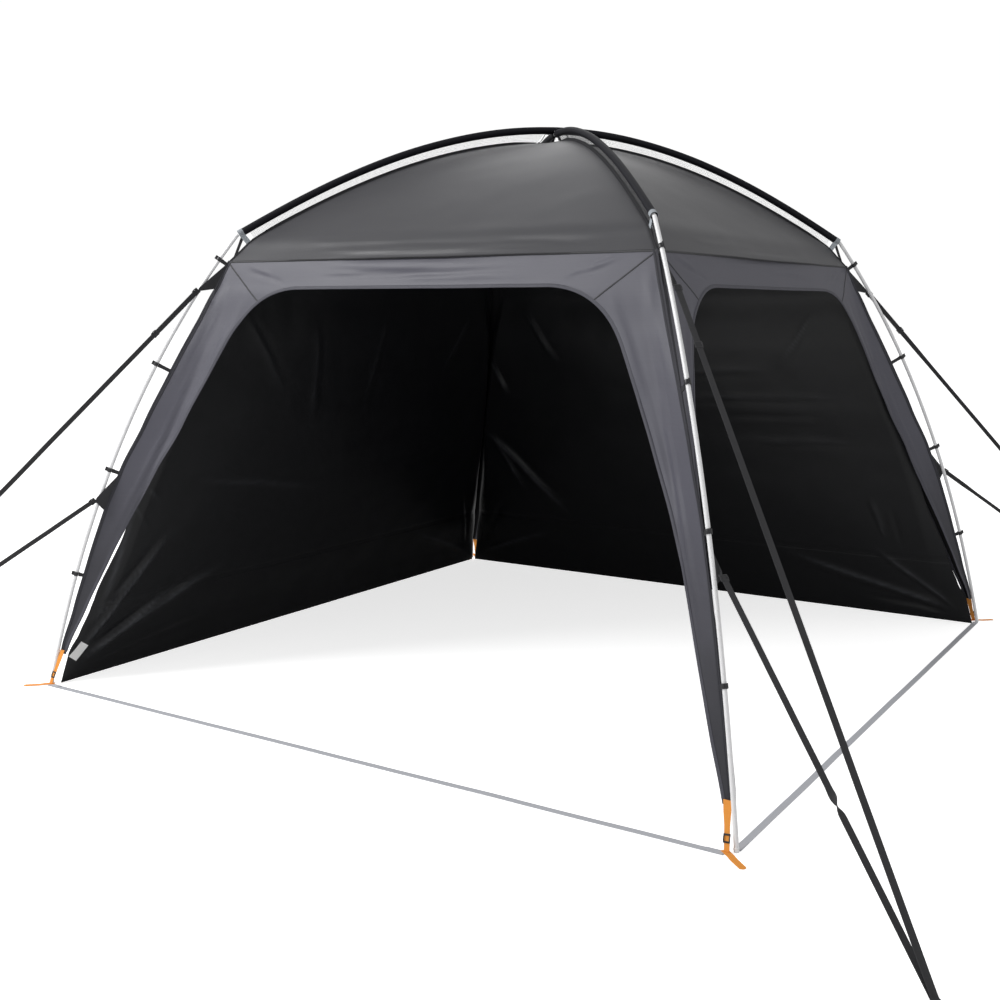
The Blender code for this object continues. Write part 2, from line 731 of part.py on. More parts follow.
def build_wall(k):
    outer, inner = [], []
    heights = spread(0.0, PANEL_END_Z, 1) + spread(*WALL_ROW_Z, 7) + spread(OPENING_Z, WALL_TOP_Z, 1)
    for z in heights:
        rows = []
        for depth in (0.0, FABRIC):
            row = [
                on_face(along, wall_out(along, z) - depth, z)
                for along in spread(*wall_ends(k, z), 14)
            ]
            rows.append(quarter_turns(row, k))
        outer.append(rows[0])
        inner.append(rows[1])
    bm = bmesh.new()
    add_sheet(bm, outer, inner)
    add_object("wall_" + FACES[k], bm, "wall", smooth=True)


def build_apex_tie():
    """A patch over the roof's apex with four short ties up to the sleeves."""
    roof_top = hip_point(0.0)[1] + 2 * FIT_GAP
    angles = [2 * math.pi * i / PATCH_SIDES for i in range(PATCH_SIDES)]
    levels = []
    for z in (roof_top, roof_top + WEBBING):
        levels.append([Vector((PATCH_R * math.cos(a), PATCH_R * math.sin(a), z)) for a in angles])
    bm = bmesh.new()
    add_loft(bm, levels)
    tie = add_object("apex_tie", bm, "webbing")
    bm = bmesh.new()
    for k in range(4):
        crossing = APEX_Z + arch_lift(k) - SLEEVE_DOWN * math.cos(math.pi / POLE_SIDES) - FIT_GAP
        rings = []
        for d, z in zip(TIE_D, (roof_top + WEBBING / 2, crossing - WEBBING)):
            rings.append(quarter_turns([
                in_corner(d + b * TIE_HALF_T, a * TIE_HALF_W, z)
                for a, b in ((-1, -1), (1, -1), (1, 1), (-1, 1))
            ], k))
        add_loft(bm, rings)
    ties = add_object("cutter_apex_ties", bm, "webbing")
    join_on(tie, ties)


def main():
    for obj in list(bpy.data.objects):
        bpy.data.objects.remove(obj, do_unlink=True)
    build_arch_poles()
    build_apex_tie()
    for k in range(4):
        build_sleeve(k)
        build_web(k)
        build_leg_pole(k)
        build_roof_panel(k)
        build_eave(k)
        build_leg_panel(k)
        build_corner_tape(k)
        build_guys(k)
        build_foot_strap(k)
        if FACES[k] in WALLED_FACES:
            build_wall(k)
        if FACES[k] in STRAPPED_FACES:
            build_ground_strap(k)


main()
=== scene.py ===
"""Looks of the camping shelter: cloth, seams, webbing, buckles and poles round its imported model.

Metres, +Z up, the origin on the ground under the apex, the front towards -Y. Corners and faces
repeat by quarter turns, so each is drawn at the front left corner or on the front face and then
turned. In a corner's plane d is the distance from the centre along the diagonal and side the
distance across it. A face is read by along, from its left to its right, and below, the way down
the cloth from the seam between roof and eave, which is negative on the roof.
"""

import math

import bpy
from bpy.props import FloatProperty, FloatVectorProperty, PointerProperty
from mathutils import Matrix, Vector, noise


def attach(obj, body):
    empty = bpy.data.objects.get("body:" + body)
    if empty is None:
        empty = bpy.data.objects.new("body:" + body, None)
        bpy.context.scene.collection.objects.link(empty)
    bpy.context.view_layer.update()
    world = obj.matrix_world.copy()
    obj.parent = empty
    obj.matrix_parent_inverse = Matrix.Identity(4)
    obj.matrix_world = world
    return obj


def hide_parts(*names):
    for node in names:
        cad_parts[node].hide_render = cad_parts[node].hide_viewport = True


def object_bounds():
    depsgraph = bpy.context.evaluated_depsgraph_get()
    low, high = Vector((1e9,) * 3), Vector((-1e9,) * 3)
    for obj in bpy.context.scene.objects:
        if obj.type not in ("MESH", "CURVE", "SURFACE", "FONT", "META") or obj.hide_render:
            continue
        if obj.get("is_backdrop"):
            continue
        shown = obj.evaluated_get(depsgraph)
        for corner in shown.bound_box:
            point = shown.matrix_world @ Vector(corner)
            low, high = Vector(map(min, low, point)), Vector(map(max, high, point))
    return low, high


bl_info = {
    "name": "Camping Shelter",
    "version": (1, 0, 0),
    "blender": (4, 5, 0),
    "location": "View3D > Sidebar > Shelter",
    "description": "Draws the cloth, webbing, buckles and poles of a dome camping shelter",
    "category": "Add Mesh",
}

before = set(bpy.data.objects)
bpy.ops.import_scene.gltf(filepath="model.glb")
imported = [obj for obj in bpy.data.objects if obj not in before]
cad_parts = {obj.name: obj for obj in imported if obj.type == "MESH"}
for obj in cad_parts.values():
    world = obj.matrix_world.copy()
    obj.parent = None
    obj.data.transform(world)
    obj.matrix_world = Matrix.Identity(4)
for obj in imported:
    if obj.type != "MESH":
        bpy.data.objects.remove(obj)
cad_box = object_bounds()

ROOT2 = math.sqrt(2.0)
BODY = "root"
CORNERS = ("front_left", "front_right", "back_right", "back_left")
FACES = ("front", "right", "back", "left")

# poles: D is a distance from the centre along a diagonal, Z a height; joints are shares of a length
FOOT = 1.500
SHOULDER_D = 1.314
SHOULDER_Z = 1.804
APEX_Z = 2.2415
ARCH_ROUNDNESS = -0.132
LEG_BOW = (1.867, 1.101)
ARCH_JOINTS = (0.25, 0.5, 0.75)
LEG_JOINTS = (0.09, 0.40, 0.70)
JOINT_GROOVE = 0.0012
JOINT_SWAGE = 0.055
FOOT_CAP_TALL = 0.014
FOOT_CAP_Z = 0.0072

# canopy: SEAM_GAP is (height, distance from the pole in to the corner seam)
HIP_DROP = 0.0455
HIP_END_U = 0.975
SEAM_Z = 1.695
SEAM_TURN = (0.55, 0.040)
OPENING_Z = 1.583
OPENING_HALF_W = 0.555
OPENING_TURN_Z = 1.380
PANEL_END_Z = 0.120
PANEL_WIDTH = (0.010, 0.155, -0.012)
EDGE_TUCK = 0.065
TUCK_SHARE = 0.09
FACE_SAG = 0.012
ROOF_SAG = 0.018
SEAM_GAP = (
    (0.00, 0.013), (0.15, 0.014), (0.30, 0.025), (0.50, 0.031), (0.70, 0.034), (0.86, 0.041),
    (1.05, 0.060), (1.25, 0.068), (1.45, 0.069), (1.58, 0.060), (1.70, 0.042),
)

# sleeves, nets and pole clips
SLEEVE_START_D = (0.0112, 0.0152)
SLEEVE_END_U = 0.996
SLEEVE_R = 0.0126
SLEEVE_DOWN = 0.0168
SLEEVE_CLOTH = 0.0008
NET_START_D = (0.052, 0.086)
NET_END_D = 1.272
NET_CELL = 0.0050
NET_THREAD = 0.00075
HIP_FLANGE = 0.0085
CLIP_HEIGHTS = (1.705, 1.290, 0.868, 0.448)
CLIP_TALL = 0.016
CLIP_STRAP = (0.0145, 0.0036)
HOOK_RADII = (0.0083, 0.0114)

# guy straps and their tabs and locks: UPPER_GUY and LOWER_GUY are (distance, height) of the tops
GUY_HALF_W = 0.010
GUY_SIDE = 0.0225
GUY_GROUND_D = 3.040
GUY_TAIL = 0.050
UPPER_GUY = (1.474, 1.586)
LOWER_GUY = (1.907, 0.752)
UPPER_TAB_Z = (1.688, 1.588)
LOWER_TAB_Z = (0.845, 0.705)
FRONT_RIGHT_PEG_Y = -1.960
ADJUSTER_AT = 0.235
LOCK_FROM_TOP = 0.0135
LOCK_RIM = 0.0032
LOCK_BAR_RISE = 0.0018
TAB_TIP_HALF_W = 0.0085
WEBBING = 0.0018
DOUBLE_WEBBING = 0.0020
FIT_GAP = 0.0003
MERGE_WITHIN = 0.00004

# a guy strap's twists as (share of its length, degrees); one at -0.10 leans it from its very top
TWIST_SHARE = 0.07
GUY_TWISTS = {
    ("upper", 0): ((-0.10, 60), (0.975, -60)),
    ("lower", 0): ((-0.10, 60), (0.950, -60)),
    ("lower", 1): ((0.60, 180),),
    ("upper", 2): ((-0.10, -60), (0.18, 25), (0.975, 35)),
    ("lower", 2): ((-0.10, -60), (0.12, 25), (0.950, 35)),
    ("upper", 3): ((-0.10, 60), (0.975, -60)),
    ("lower", 3): ((-0.10, 60), (0.950, -60)),
}

# foot and ground straps: places are (along, out) on the front face's ground, shares run downwards
STRAP_FOOT = (1.478, 1.520)
FOOT_STRAP_HALF_W = ((0.0, 0.0123), (0.16, 0.0121), (0.55, 0.0088), (1.0, 0.0084))
FOOT_LOCK_SHARE = 0.74
FOOT_TAB_END = (1.558, 1.588)
FOOT_TAB_W = 0.022
GROUND_STRAP_W = 0.025
GROUND_STRAP_OUT = (1.526, 1.495)
GROUND_STRAP_END = (1.474, 1.488)

# apex and shoulders: U is a share of a half arch
APEX_PATCH_RADII = (0.004, 0.030, 0.055, 0.0765, 0.0790, 0.0800)
SHOULDER_BAND_R = 0.0134
SHOULDER_BAND_U = (0.9835, 0.9975)

# cross-sections of sewn edges as (offset or share of the width, lift off the cloth)
LEG_BINDING = (
    (1.0, 0.0002), (0.97, 0.0013), (0.62, 0.0016), (0.55, 0.0007), (0.30, 0.0010), (0.13, 0.0024),
    (0.0001, 0.0044),
)
LEG_BINDING_WIDE = ((0.9, 0.011), (1.5, 0.019))
HIP_BINDING = ((-0.0100, 0.0002), (-0.0096, 0.0012), (-0.0046, 0.0014), (-0.0016, 0.0024))
ROOF_SEAM = ((0.0050, 0.0003), (0.0046, 0.0010), (0.0, 0.0012), (-0.0034, 0.0010), (-0.0038, 0.0002))
MITRE_SEAM = ((-0.0027, 0.0003), (-0.0022, 0.0009), (0.0022, 0.0009), (0.0027, 0.0003))
MITRE_STEPS = 15
HEM = (
    (1.0, 0.0002), (0.95, 0.0012), (0.55, 0.0014), (0.10, 0.0014), (-0.09, 0.0007), (-0.11, -0.0006),
    (-0.05, -0.0017), (0.55, -0.0019), (0.95, -0.0018), (1.0, -0.0012),
)
HEM_WIDE = 0.011
SEAM_TAPE = 0.0006

# walls: the two edges are (height, distance from the corner seam), the label (along, height)
WALL_TOP_Z = OPENING_Z + (SEAM_Z - FIT_GAP - OPENING_Z) / 3
WALL_SEAM_Z = 0.312
WALL_INSET = 0.040
WALL_GROUND_INSET = 0.031
WALL_END_DRAW = 0.006
WALL_END_SHARE = 0.5
WALL_TURN_Z = 1.300
WALL_HANG_Z = 0.300
WALL_FLUSH = 0.0031
WALL_HEM = 0.012
LABEL_CORNERS = ((1.369, 0.135), (1.406, 0.161), (1.422, 0.080), (1.459, 0.108))
WALL_EDGE = (
    (0.00, 0.006), (0.12, 0.010), (0.20, 0.034), (0.35, 0.048), (0.60, 0.077), (0.95, 0.065), (1.70, 0.050),
)
WALL_MEET_EDGE = (
    (0.00, 0.041), (0.15, 0.055), (0.35, 0.075), (0.60, 0.100), (0.90, 0.112), (1.15, 0.100), (1.40, 0.075),
    (1.70, 0.050),
)

# camera and light
CAMERA_AT = (2.7305, -4.5417, 1.5119)
CAMERA_AZIMUTH = 31.797
CAMERA_DOWN = 8.952
CAMERA_LENS = 43.914
CAMERA_SHIFT = (-0.0387, 0.0003)
WORLD_LIGHT = 0.55
BACKDROP = 1.02
FLOOR_GLOW = 0.72

# finishes
# painted highlight colour laid along the walls' fold ridges
RIDGE_HIGHLIGHT_COLOUR = (0.060, 0.062, 0.070)
# share of the side cloth's colour left at the ground by the painted shade
GROUND_SHADE_SHARE = 0.32
WEAVE_RELIEF = 0.00012

# folds as (start along, start below, end along, end below, width, rise) on a face's cloth
LEG_FOLDS = (
    (0.80, 0.11, 1.02, 0.55, 0.020, 0.0035),
    (0.88, 0.20, 1.15, 0.80, 0.016, -0.0030),
    (0.93, 0.02, 1.00, 0.33, 0.014, 0.0025),
    (1.10, 0.60, 1.34, 1.20, 0.012, 0.0026),
    (0.96, 0.12, 1.12, 0.50, 0.009, 0.0030),
    (0.92, 0.30, 1.20, 0.90, 0.009, 0.0030),
    (0.97, 0.36, 1.26, 1.02, 0.008, -0.0028),
    (1.00, 0.30, 1.30, 1.15, 0.007, 0.0026),
    (1.14, 0.75, 1.36, 1.35, 0.008, 0.0026),
    (0.70, 0.06, 0.86, 0.01, 0.010, 0.0025),
    (0.62, 0.09, 0.84, 0.03, 0.009, -0.0020),
)
FRONT_FOLDS = (
    (-0.56, -0.046, 0.44, -0.026, 0.012, 0.0032),
    (-0.44, -0.018, 0.60, -0.010, 0.009, -0.0030),
    (-0.50, 0.022, 0.50, 0.030, 0.010, 0.0040),
    (-0.34, 0.050, 0.16, 0.056, 0.010, -0.0032),
    (-0.14, 0.078, 0.56, 0.070, 0.010, 0.0030),
    (-0.62, -0.090, 0.10, -0.070, 0.018, 0.0022),
    (-0.52, -0.062, 0.20, -0.050, 0.007, 0.0024),
    (-0.30, -0.036, 0.62, -0.031, 0.007, -0.0024),
    (-0.60, 0.010, 0.20, 0.014, 0.007, 0.0028),
    (-0.25, 0.040, 0.45, 0.043, 0.007, 0.0026),
    (-0.50, 0.064, 0.10, 0.069, 0.007, -0.0024),
    (0.30, -0.070, 0.80, -0.045, 0.014, -0.0018),
)
RIGHT_FOLDS = (
    (-0.30, -0.022, 0.55, -0.016, 0.010, 0.0024),
    (-0.48, 0.030, 0.20, 0.024, 0.010, 0.0026),
    (-0.05, 0.062, 0.50, 0.066, 0.011, -0.0024),
    (-0.66, -0.060, 0.05, -0.050, 0.016, 0.0018),
)

# folds as (start along, start height, end along, end height, width, rise) on a wall
BACK_WALL_FOLDS = (
    (1.19, 0.84, 0.66, 0.33, 0.020, 0.0115),
    (1.14, 0.80, 0.96, 0.46, 0.013, 0.0080),
    (1.06, 1.24, 0.96, 1.02, 0.014, 0.0085),
    (-1.42, 0.05, -0.52, 0.29, 0.018, 0.0125),
    (-1.42, 0.06, -1.00, 0.37, 0.014, 0.0100),
    (-1.40, 0.04, -0.90, 0.10, 0.012, -0.0075),
    (1.42, 0.05, 0.80, 0.26, 0.016, 0.0060),
    (1.40, 0.08, 1.10, 0.45, 0.014, -0.0050),
    (-0.95, 1.10, 0.05, 1.06, 0.012, 0.0030),
    (-0.90, 1.00, -0.10, 0.97, 0.013, -0.0032),
    (-0.98, 0.88, -0.30, 0.86, 0.012, 0.0030),
    (-0.60, 1.22, 0.30, 1.18, 0.016, 0.0028),
    (-1.08, 0.40, -1.02, 0.62, 0.014, 0.0050),
    (-1.16, 0.36, -1.12, 0.58, 0.012, -0.0045),
    (-0.80, 1.50, -0.62, 1.22, 0.014, 0.0045),
    (0.80, 1.50, 0.60, 1.20, 0.014, 0.0045),
    (0.10, 1.52, 0.16, 1.20, 0.020, 0.0035),
)
LEFT_WALL_FOLDS = (
    (1.42, 0.08, 0.66, 0.40, 0.018, 0.0120),
    (1.42, 0.10, 1.02, 0.62, 0.015, 0.0110),
    (1.40, 0.06, 0.90, 0.36, 0.011, 0.0090),
    (1.40, 0.04, 0.70, 0.12, 0.013, -0.0080),
    (1.36, 0.20, 1.20, 0.95, 0.018, 0.0080),
    (1.41, 0.06, 0.95, 0.30, 0.007, 0.0050),
    (1.38, 0.22, 1.16, 0.46, 0.007, 0.0050),
    (1.34, 0.28, 1.06, 0.56, 0.008, 0.0050),
    (1.30, 0.86, 1.10, 0.70, 0.008, 0.0045),
    (1.30, 0.80, 1.16, 0.58, 0.007, 0.0040),
    (-1.40, 0.05, -0.72, 0.30, 0.016, 0.0065),
    (-1.38, 0.08, -1.10, 0.60, 0.015, -0.0055),
    (0.84, 1.50, 0.52, 1.12, 0.016, 0.0028),
    (-0.82, 1.50, -0.60, 1.16, 0.015, 0.0040),
    (0.40, 1.46, 0.30, 0.90, 0.028, 0.0020),
    (-0.10, 1.50, -0.02, 1.02, 0.024, 0.0018),
    (0.95, 0.80, 0.10, 0.66, 0.020, 0.0035),
    (-0.95, 0.86, -0.20, 0.70, 0.022, -0.0035),
)


def mirrored(folds):
    """The same folds on a face's other half."""
    return tuple((-x0, y0, -x1, y1, width, height) for x0, y0, x1, y1, width, height in folds)


CANOPY_FOLDS = {
    "front": FRONT_FOLDS + LEG_FOLDS + mirrored(LEG_FOLDS),
    "right": RIGHT_FOLDS + LEG_FOLDS + mirrored(LEG_FOLDS),
    "back": mirrored(FRONT_FOLDS) + LEG_FOLDS + mirrored(LEG_FOLDS),
    "left": mirrored(RIGHT_FOLDS) + LEG_FOLDS + mirrored(LEG_FOLDS),
}
WALL_FOLDS = {"back": BACK_WALL_FOLDS, "left": LEFT_WALL_FOLDS}


class ShelterSizes(bpy.types.PropertyGroup):
    """Sizes that a user would change"""

    cloth: FloatProperty(
        name="Cloth thickness", description="Thickness of the canopy and the walls as drawn",
        default=0.0010, min=0.0003, max=0.0022, unit="LENGTH", precision=4,
    )
    folds: FloatProperty(
        name="Fold height", description="Height of every fold as a share of the drawn one",
        default=1.0, min=0.0, max=2.0, subtype="FACTOR",
    )
    pole: FloatProperty(
        name="Pole diameter", description="Outside diameter of the steel tubes",
        default=0.015, min=0.012, max=0.0156, unit="LENGTH", precision=4,
    )
    strap: FloatProperty(
        name="Webbing thickness", description="Thickness of all straps",
        default=0.0016, min=0.0008, max=0.0025, unit="LENGTH", precision=4,
    )
    threads: FloatProperty(
        name="Threads per metre", description="Thread pairs in a metre of canopy cloth",
        default=900.0, min=200.0, max=3000.0,
    )


def colour_choice(name, description, default):
    """A colour that a user may change."""
    return FloatVectorProperty(
        name=name, description=description, subtype="COLOR", default=default, min=0.0, max=1.0,
    )


class ShelterColours(bpy.types.PropertyGroup):
    """Colours of the cloths, the webbing and the poles"""

    roof: colour_choice("Roof", "Charcoal roof cloth", (0.052, 0.052, 0.058))
    side: colour_choice("Sides", "Grey cloth of the eaves and legs", (0.086, 0.085, 0.108))
    wall: colour_choice("Walls", "Black wall cloth", (0.0058, 0.0060, 0.0074))
    lining: colour_choice(
        "Canopy inside", "Dark coated inner side of the roof and sides", (0.0070, 0.0070, 0.0085),
    )
    sleeve: colour_choice("Sleeves", "Black pole sleeves", (0.010, 0.010, 0.014))
    net: colour_choice("Nets", "Open strips that hang the roof", (0.020, 0.020, 0.024))
    webbing: colour_choice("Guy straps", "Dark webbing", (0.030, 0.030, 0.033))
    grey_webbing: colour_choice("Shoulder bands", "Mid grey webbing", (0.36, 0.39, 0.42))
    pale_webbing: colour_choice("Ground straps", "Pale grey webbing", (0.50, 0.51, 0.55))
    orange_webbing: colour_choice("Foot straps", "Orange webbing", (0.93, 0.27, 0.035))
    pole: colour_choice("Poles", "Pale silver paint", (0.95, 0.95, 0.96))


def sizes():
    return bpy.context.scene.shelter_sizes


def colours():
    return bpy.context.scene.shelter_colours


# numbers and curves

def mix(a, b, t):
    return a + (b - a) * t


def between_four(corners, t, s):
    """The place in a patch at t down it and s across it; its corners are top left and right, then low."""
    top_left, top_right, low_left, low_right = (Vector(corner) for corner in corners)
    return top_left.lerp(top_right, s).lerp(low_left.lerp(low_right, s), t)


def ease(t):
    """0 to 1 with soft ends."""
    t = max(0.0, min(1.0, t))
    return t * t * (3.0 - 2.0 * t)


def spread(first, last, count):
    """count + 1 even values from first to last."""
    return [mix(first, last, i / count) for i in range(count + 1)]


def stations(*marks):
    """Values through (value, steps to the next) marks, the last mark a bare value."""
    values = [marks[0][0]]
    for (start, steps), following in zip(marks, marks[1:]):
        end = following[0] if isinstance(following, tuple) else following
        values += spread(start, end, steps)[1:]
    return values


def keyed(pairs, x):
    """The value at x of a curve through (x, value) pairs, eased between them."""
    if x <= pairs[0][0]:
        return pairs[0][1]
    for (x0, y0), (x1, y1) in zip(pairs, pairs[1:]):
        if x <= x1:
            return mix(y0, y1, ease((x - x0) / (x1 - x0)))
    return pairs[-1][1]


def rounded(points, steps):
    """A smooth line through points, as a list with steps pieces between each pair."""
    line = []
    last = len(points) - 1
    for i in range(last):
        before, a, b, after = (points[max(0, min(last, n))] for n in (i - 1, i, i + 1, i + 2))
        for j in range(steps):
            t = j / steps
            line.append(
                0.5 * (2 * a + (b - before) * t + (2 * before - 5 * a + 4 * b - after) * t * t
                       + (3 * a - before - 3 * b + after) * t ** 3)
            )
    line.append(points[-1])
    return line


class Route:
    """A line through points, read by the distance along it."""

    def __init__(self, points):
        self.points = points
        self.marks = [0.0]
        for a, b in zip(points, points[1:]):
            self.marks.append(self.marks[-1] + (b - a).length)
        self.length = self.marks[-1]

    def at(self, distance):
        distance = max(0.0, min(self.length, distance))
        i = 0
        while i < len(self.marks) - 2 and self.marks[i + 1] < distance:
            i += 1
        t = (distance - self.marks[i]) / (self.marks[i + 1] - self.marks[i])
        return self.points[i].lerp(self.points[i + 1], t)

    def heading(self, distance):
        step = 0.004
        return (self.at(distance + step) - self.at(distance - step)).normalized()


# the shelter's own shape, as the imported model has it

def in_corner(d, side, z):
    """A point of the front left corner's plane in the shelter's own axes."""
    return Vector(((-d + side) / ROOT2, (-d - side) / ROOT2, z))


def on_face(along, out, z):
    """A point of the front face: along it from left to right, out from the centre, and up."""
    return Vector((along, -out, z))


def quarter(k):
    return Matrix.Rotation(math.radians(90.0) * k, 4, "Z")


def back_a_quarter(point):
    """A point of the front face as the same point of the left face."""
    return Vector((point.y, -point.x, point.z))


def turned(rows, k):
    turn = quarter(k)
    return [[turn @ point for point in row] for row in rows]


def arch_lift(k):
    """The arch from front left to back right passes over the other at the apex."""
    return (sizes().pole / 2 + FIT_GAP / 2) * (-1 if k % 2 else 1)


def arch_point(u, lift=0.0):
    """Distance and height of an arch pole at u, from 0 at the apex to 1 at the shoulder."""
    drop = (1.0 - ARCH_ROUNDNESS) * u ** 2 + ARCH_ROUNDNESS * u ** 4
    return SHOULDER_D * u, APEX_Z - (APEX_Z - SHOULDER_Z) * drop + lift * (1.0 - u ** 2)


def on_arch(k, u, side=0.0, out=0.0):
    """A point at a corner's half of its arch pole: to a side of it, and out from its centreline."""
    d, z = arch_point(u, arch_lift(k))
    nd, nz = arch_normal(u)
    return quarter(k) @ in_corner(d + nd * out, side, z + nz * out)


def sideways(k):
    """The unit vector across a corner's plane."""
    return quarter(k) @ in_corner(0.0, 1.0, 0.0)


def arch_normal(u):
    """Outward unit normal of an arch in its own plane."""
    step = 0.001
    d0, z0 = arch_point(u - step)
    d1, z1 = arch_point(u + step)
    length = math.hypot(d1 - d0, z1 - z0)
    return -(z1 - z0) / length, (d1 - d0) / length


def leg_point(t):
    """Distance and height of a leg pole's centreline, from the shoulder to the ground."""
    d = (1 - t) ** 2 * SHOULDER_D + 2 * t * (1 - t) * LEG_BOW[0] + t ** 2 * FOOT * ROOT2
    z = (1 - t) ** 2 * SHOULDER_Z + 2 * t * (1 - t) * LEG_BOW[1]
    return d, z


def leg_at(z):
    """A leg pole's distance from the centre at a height, solved from its curve."""
    a = SHOULDER_Z - 2 * LEG_BOW[1]
    b = 2 * (LEG_BOW[1] - SHOULDER_Z)
    c = SHOULDER_Z - z
    return leg_point((-b - math.sqrt(b * b - 4 * a * c)) / (2 * a))[0]


def seam_at(z):
    """The canopy's corner seam: distance from the centre at a height below the roof seam."""
    return leg_at(z) - keyed(SEAM_GAP, z)


def hip_point(u):
    """The roof's hip line under an arch, from the apex to just short of the shoulder."""
    d, z = arch_point(u)
    nd, nz = arch_normal(u)
    return d - HIP_DROP * nd, z - HIP_DROP * nz


def face_out(along, z):
    """How far out the canopy's face lies at a place along it and a height."""
    corner = seam_at(z) / ROOT2
    share = min(1.0, abs(along) / corner)
    sag = FACE_SAG * (1.0 - share * share) ** 2
    rise = max(0.0, min(1.0, (z - PANEL_END_Z) / (OPENING_Z - PANEL_END_Z)))
    tuck = EDGE_TUCK * math.sin(math.pi * rise) * min(1.0, (1.0 - share) / TUCK_SHARE)
    return corner - sag - tuck


def panel_width(z):
    a, b, c = PANEL_WIDTH
    return a + b * z + c * z * z


def panel_edge(z):
    """Where a leg panel's free edge lies along the face, below the doorway's corner curve."""
    return seam_at(z) / ROOT2 - panel_width(z)


def doorway_corner(t):
    """The doorway's corner curve, from its leg side to its straight top: along, height."""
    x0, z0 = panel_edge(OPENING_TURN_Z), OPENING_TURN_Z
    step = 0.02
    slope = (x0 - panel_edge(z0 - step)) / step
    x1, z1 = x0 + slope * (OPENING_Z - z0), OPENING_Z
    x2, z2 = OPENING_HALF_W, OPENING_Z
    along = (1 - t) ** 2 * x0 + 2 * t * (1 - t) * x1 + t * t * x2
    return along, (1 - t) ** 2 * z0 + 2 * t * (1 - t) * z1 + t * t * z2


def roof_line():
    """The roof's middle line as a route of (out, height) points, from the apex to the seam."""
    marks = [Vector(hip_point(u)) for u in spread(0.0, HIP_END_U, 14)]
    share, rise = SEAM_TURN
    marks.append(Vector((mix(marks[-1].x, seam_at(SEAM_Z), share), SEAM_Z + rise)))
    marks.append(Vector((seam_at(SEAM_Z), SEAM_Z)))
    return Route(rounded([Vector((p.x / ROOT2, p.y)) for p in marks], 6))


def wall_out(along, z):
    """How far out a wall hangs: flush with the eave at its top, and free of the legs below."""
    ends = max(0.0, (abs(along) - OPENING_HALF_W) / (SHOULDER_D / ROOT2 - OPENING_HALF_W))
    flush = WALL_FLUSH + WALL_END_DRAW * min(1.0, ends / WALL_END_SHARE)
    if z >= OPENING_Z:
        inset = flush
    elif z > WALL_TURN_Z:
        inset = keyed(((WALL_TURN_Z, WALL_INSET), (OPENING_Z, flush)), z)
    else:
        inset = keyed(((0.0, WALL_GROUND_INSET), (WALL_HANG_Z, WALL_INSET)), z)
    if z >= PANEL_END_Z:
        return face_out(along, z) - inset
    return seam_at(z) / ROOT2 - inset - FACE_SAG * (1.0 - (along / FOOT) ** 2) ** 2 * z / PANEL_END_Z


# folds in the cloth

def folds_near(folds, x, y):
    """The folds at a place: how many widths off each is, its fade towards its ends, its height."""
    for x0, y0, x1, y1, width, height in folds:
        dx, dy = x1 - x0, y1 - y0
        length = math.hypot(dx, dy)
        t = ((x - x0) * dx + (y - y0) * dy) / length ** 2
        if not 0.0 < t < 1.0:
            continue
        across = ((x - x0) * dy - (y - y0) * dx) / length
        wide = width * (0.7 + 0.6 * t)
        if abs(across) > 4.0 * wide:
            continue
        bend = 0.5 * wide * noise.noise(Vector((t * 3.0, x0 * 9.0, y0 * 9.0)))
        yield (across + bend) / wide, ease(t / 0.25) * ease((1.0 - t) / 0.45), height


def fold_height(folds, x, y):
    """Height of the cloth's folds at a place: each a ridge with a shallow valley beside it."""
    total = 0.0
    for s, fade, height in folds_near(folds, x, y):
        total += height * fade * (math.exp(-abs(s) ** 1.6) - 0.45 * math.exp(-(s - 1.7) ** 2))
    return total * sizes().folds


def ridge_highlight_strength(folds, x, y):
    """How strong the painted highlight on the cloth's fold ridges is at a place, from 0 to 1: the cloth is
    painted paler there.
    """
    total = 0.0
    for s, fade, height in folds_near(folds, x, y):
        total += fade * max(0.0, height) / 0.010 * math.exp(-((s + 0.2) / 0.5) ** 2)
    return min(1.0, total)


def ripple(x, y, seed, height):
    """Soft unevenness that no cloth is without."""
    slow = noise.noise(Vector((x * 2.9, y * 4.6, seed * 7.31)))
    fast = noise.noise(Vector((x * 8.3 + 4.0, y * 12.7, seed * 7.31 + 3.0)))
    return height * (slow + 0.35 * fast) * sizes().folds


def canopy_depth(face, along, below, room):
    """How far the canopy stands out of its even shape; room is the way to its nearest held edge."""
    height = fold_height(CANOPY_FOLDS[face], along, below)
    height += ripple(along, below, FACES.index(face) + 1, 0.0026)
    return height * ease(room / 0.05)


def roof_point(face, share, below, line, lift=0.0):
    """A point of the front roof gore, turned later: share across it, below from the seam up."""
    down = line.length + below
    out, z = line.at(down)
    heading = line.heading(down)
    n_out, n_z = -heading.y, heading.x
    sag = ROOF_SAG * math.sin(math.pi * down / line.length) * (1.0 - share * share)
    room = out * (1.0 - abs(share))
    lift += canopy_depth(face, out * share, below, room) * ease(down / 0.25) - sag
    return on_face(out * share, out + lift * n_out, z + lift * n_z)


def skirt_point(face, along, z, lift=0.0):
    """A point of the eave and leg cloth on the front face, turned later."""
    step = 0.01
    slope = (seam_at(z + step) - seam_at(z - step)) / (2 * step * ROOT2)
    length = math.hypot(1.0, slope)
    n_out, n_z = 1.0 / length, -slope / length
    room = seam_at(z) / ROOT2 - abs(along)
    lift += canopy_depth(face, along, SEAM_Z - z, room)
    return on_face(along, face_out(along, z) + lift * n_out, z + lift * n_z)


def wall_ends(face, z):
    """Where a wall's two side edges lie along its face at a height."""
    corner = seam_at(z) / ROOT2
    free, meeting = corner - keyed(WALL_EDGE, z), corner - keyed(WALL_MEET_EDGE, z)
    return (-free, meeting) if face == "back" else (-meeting, free)


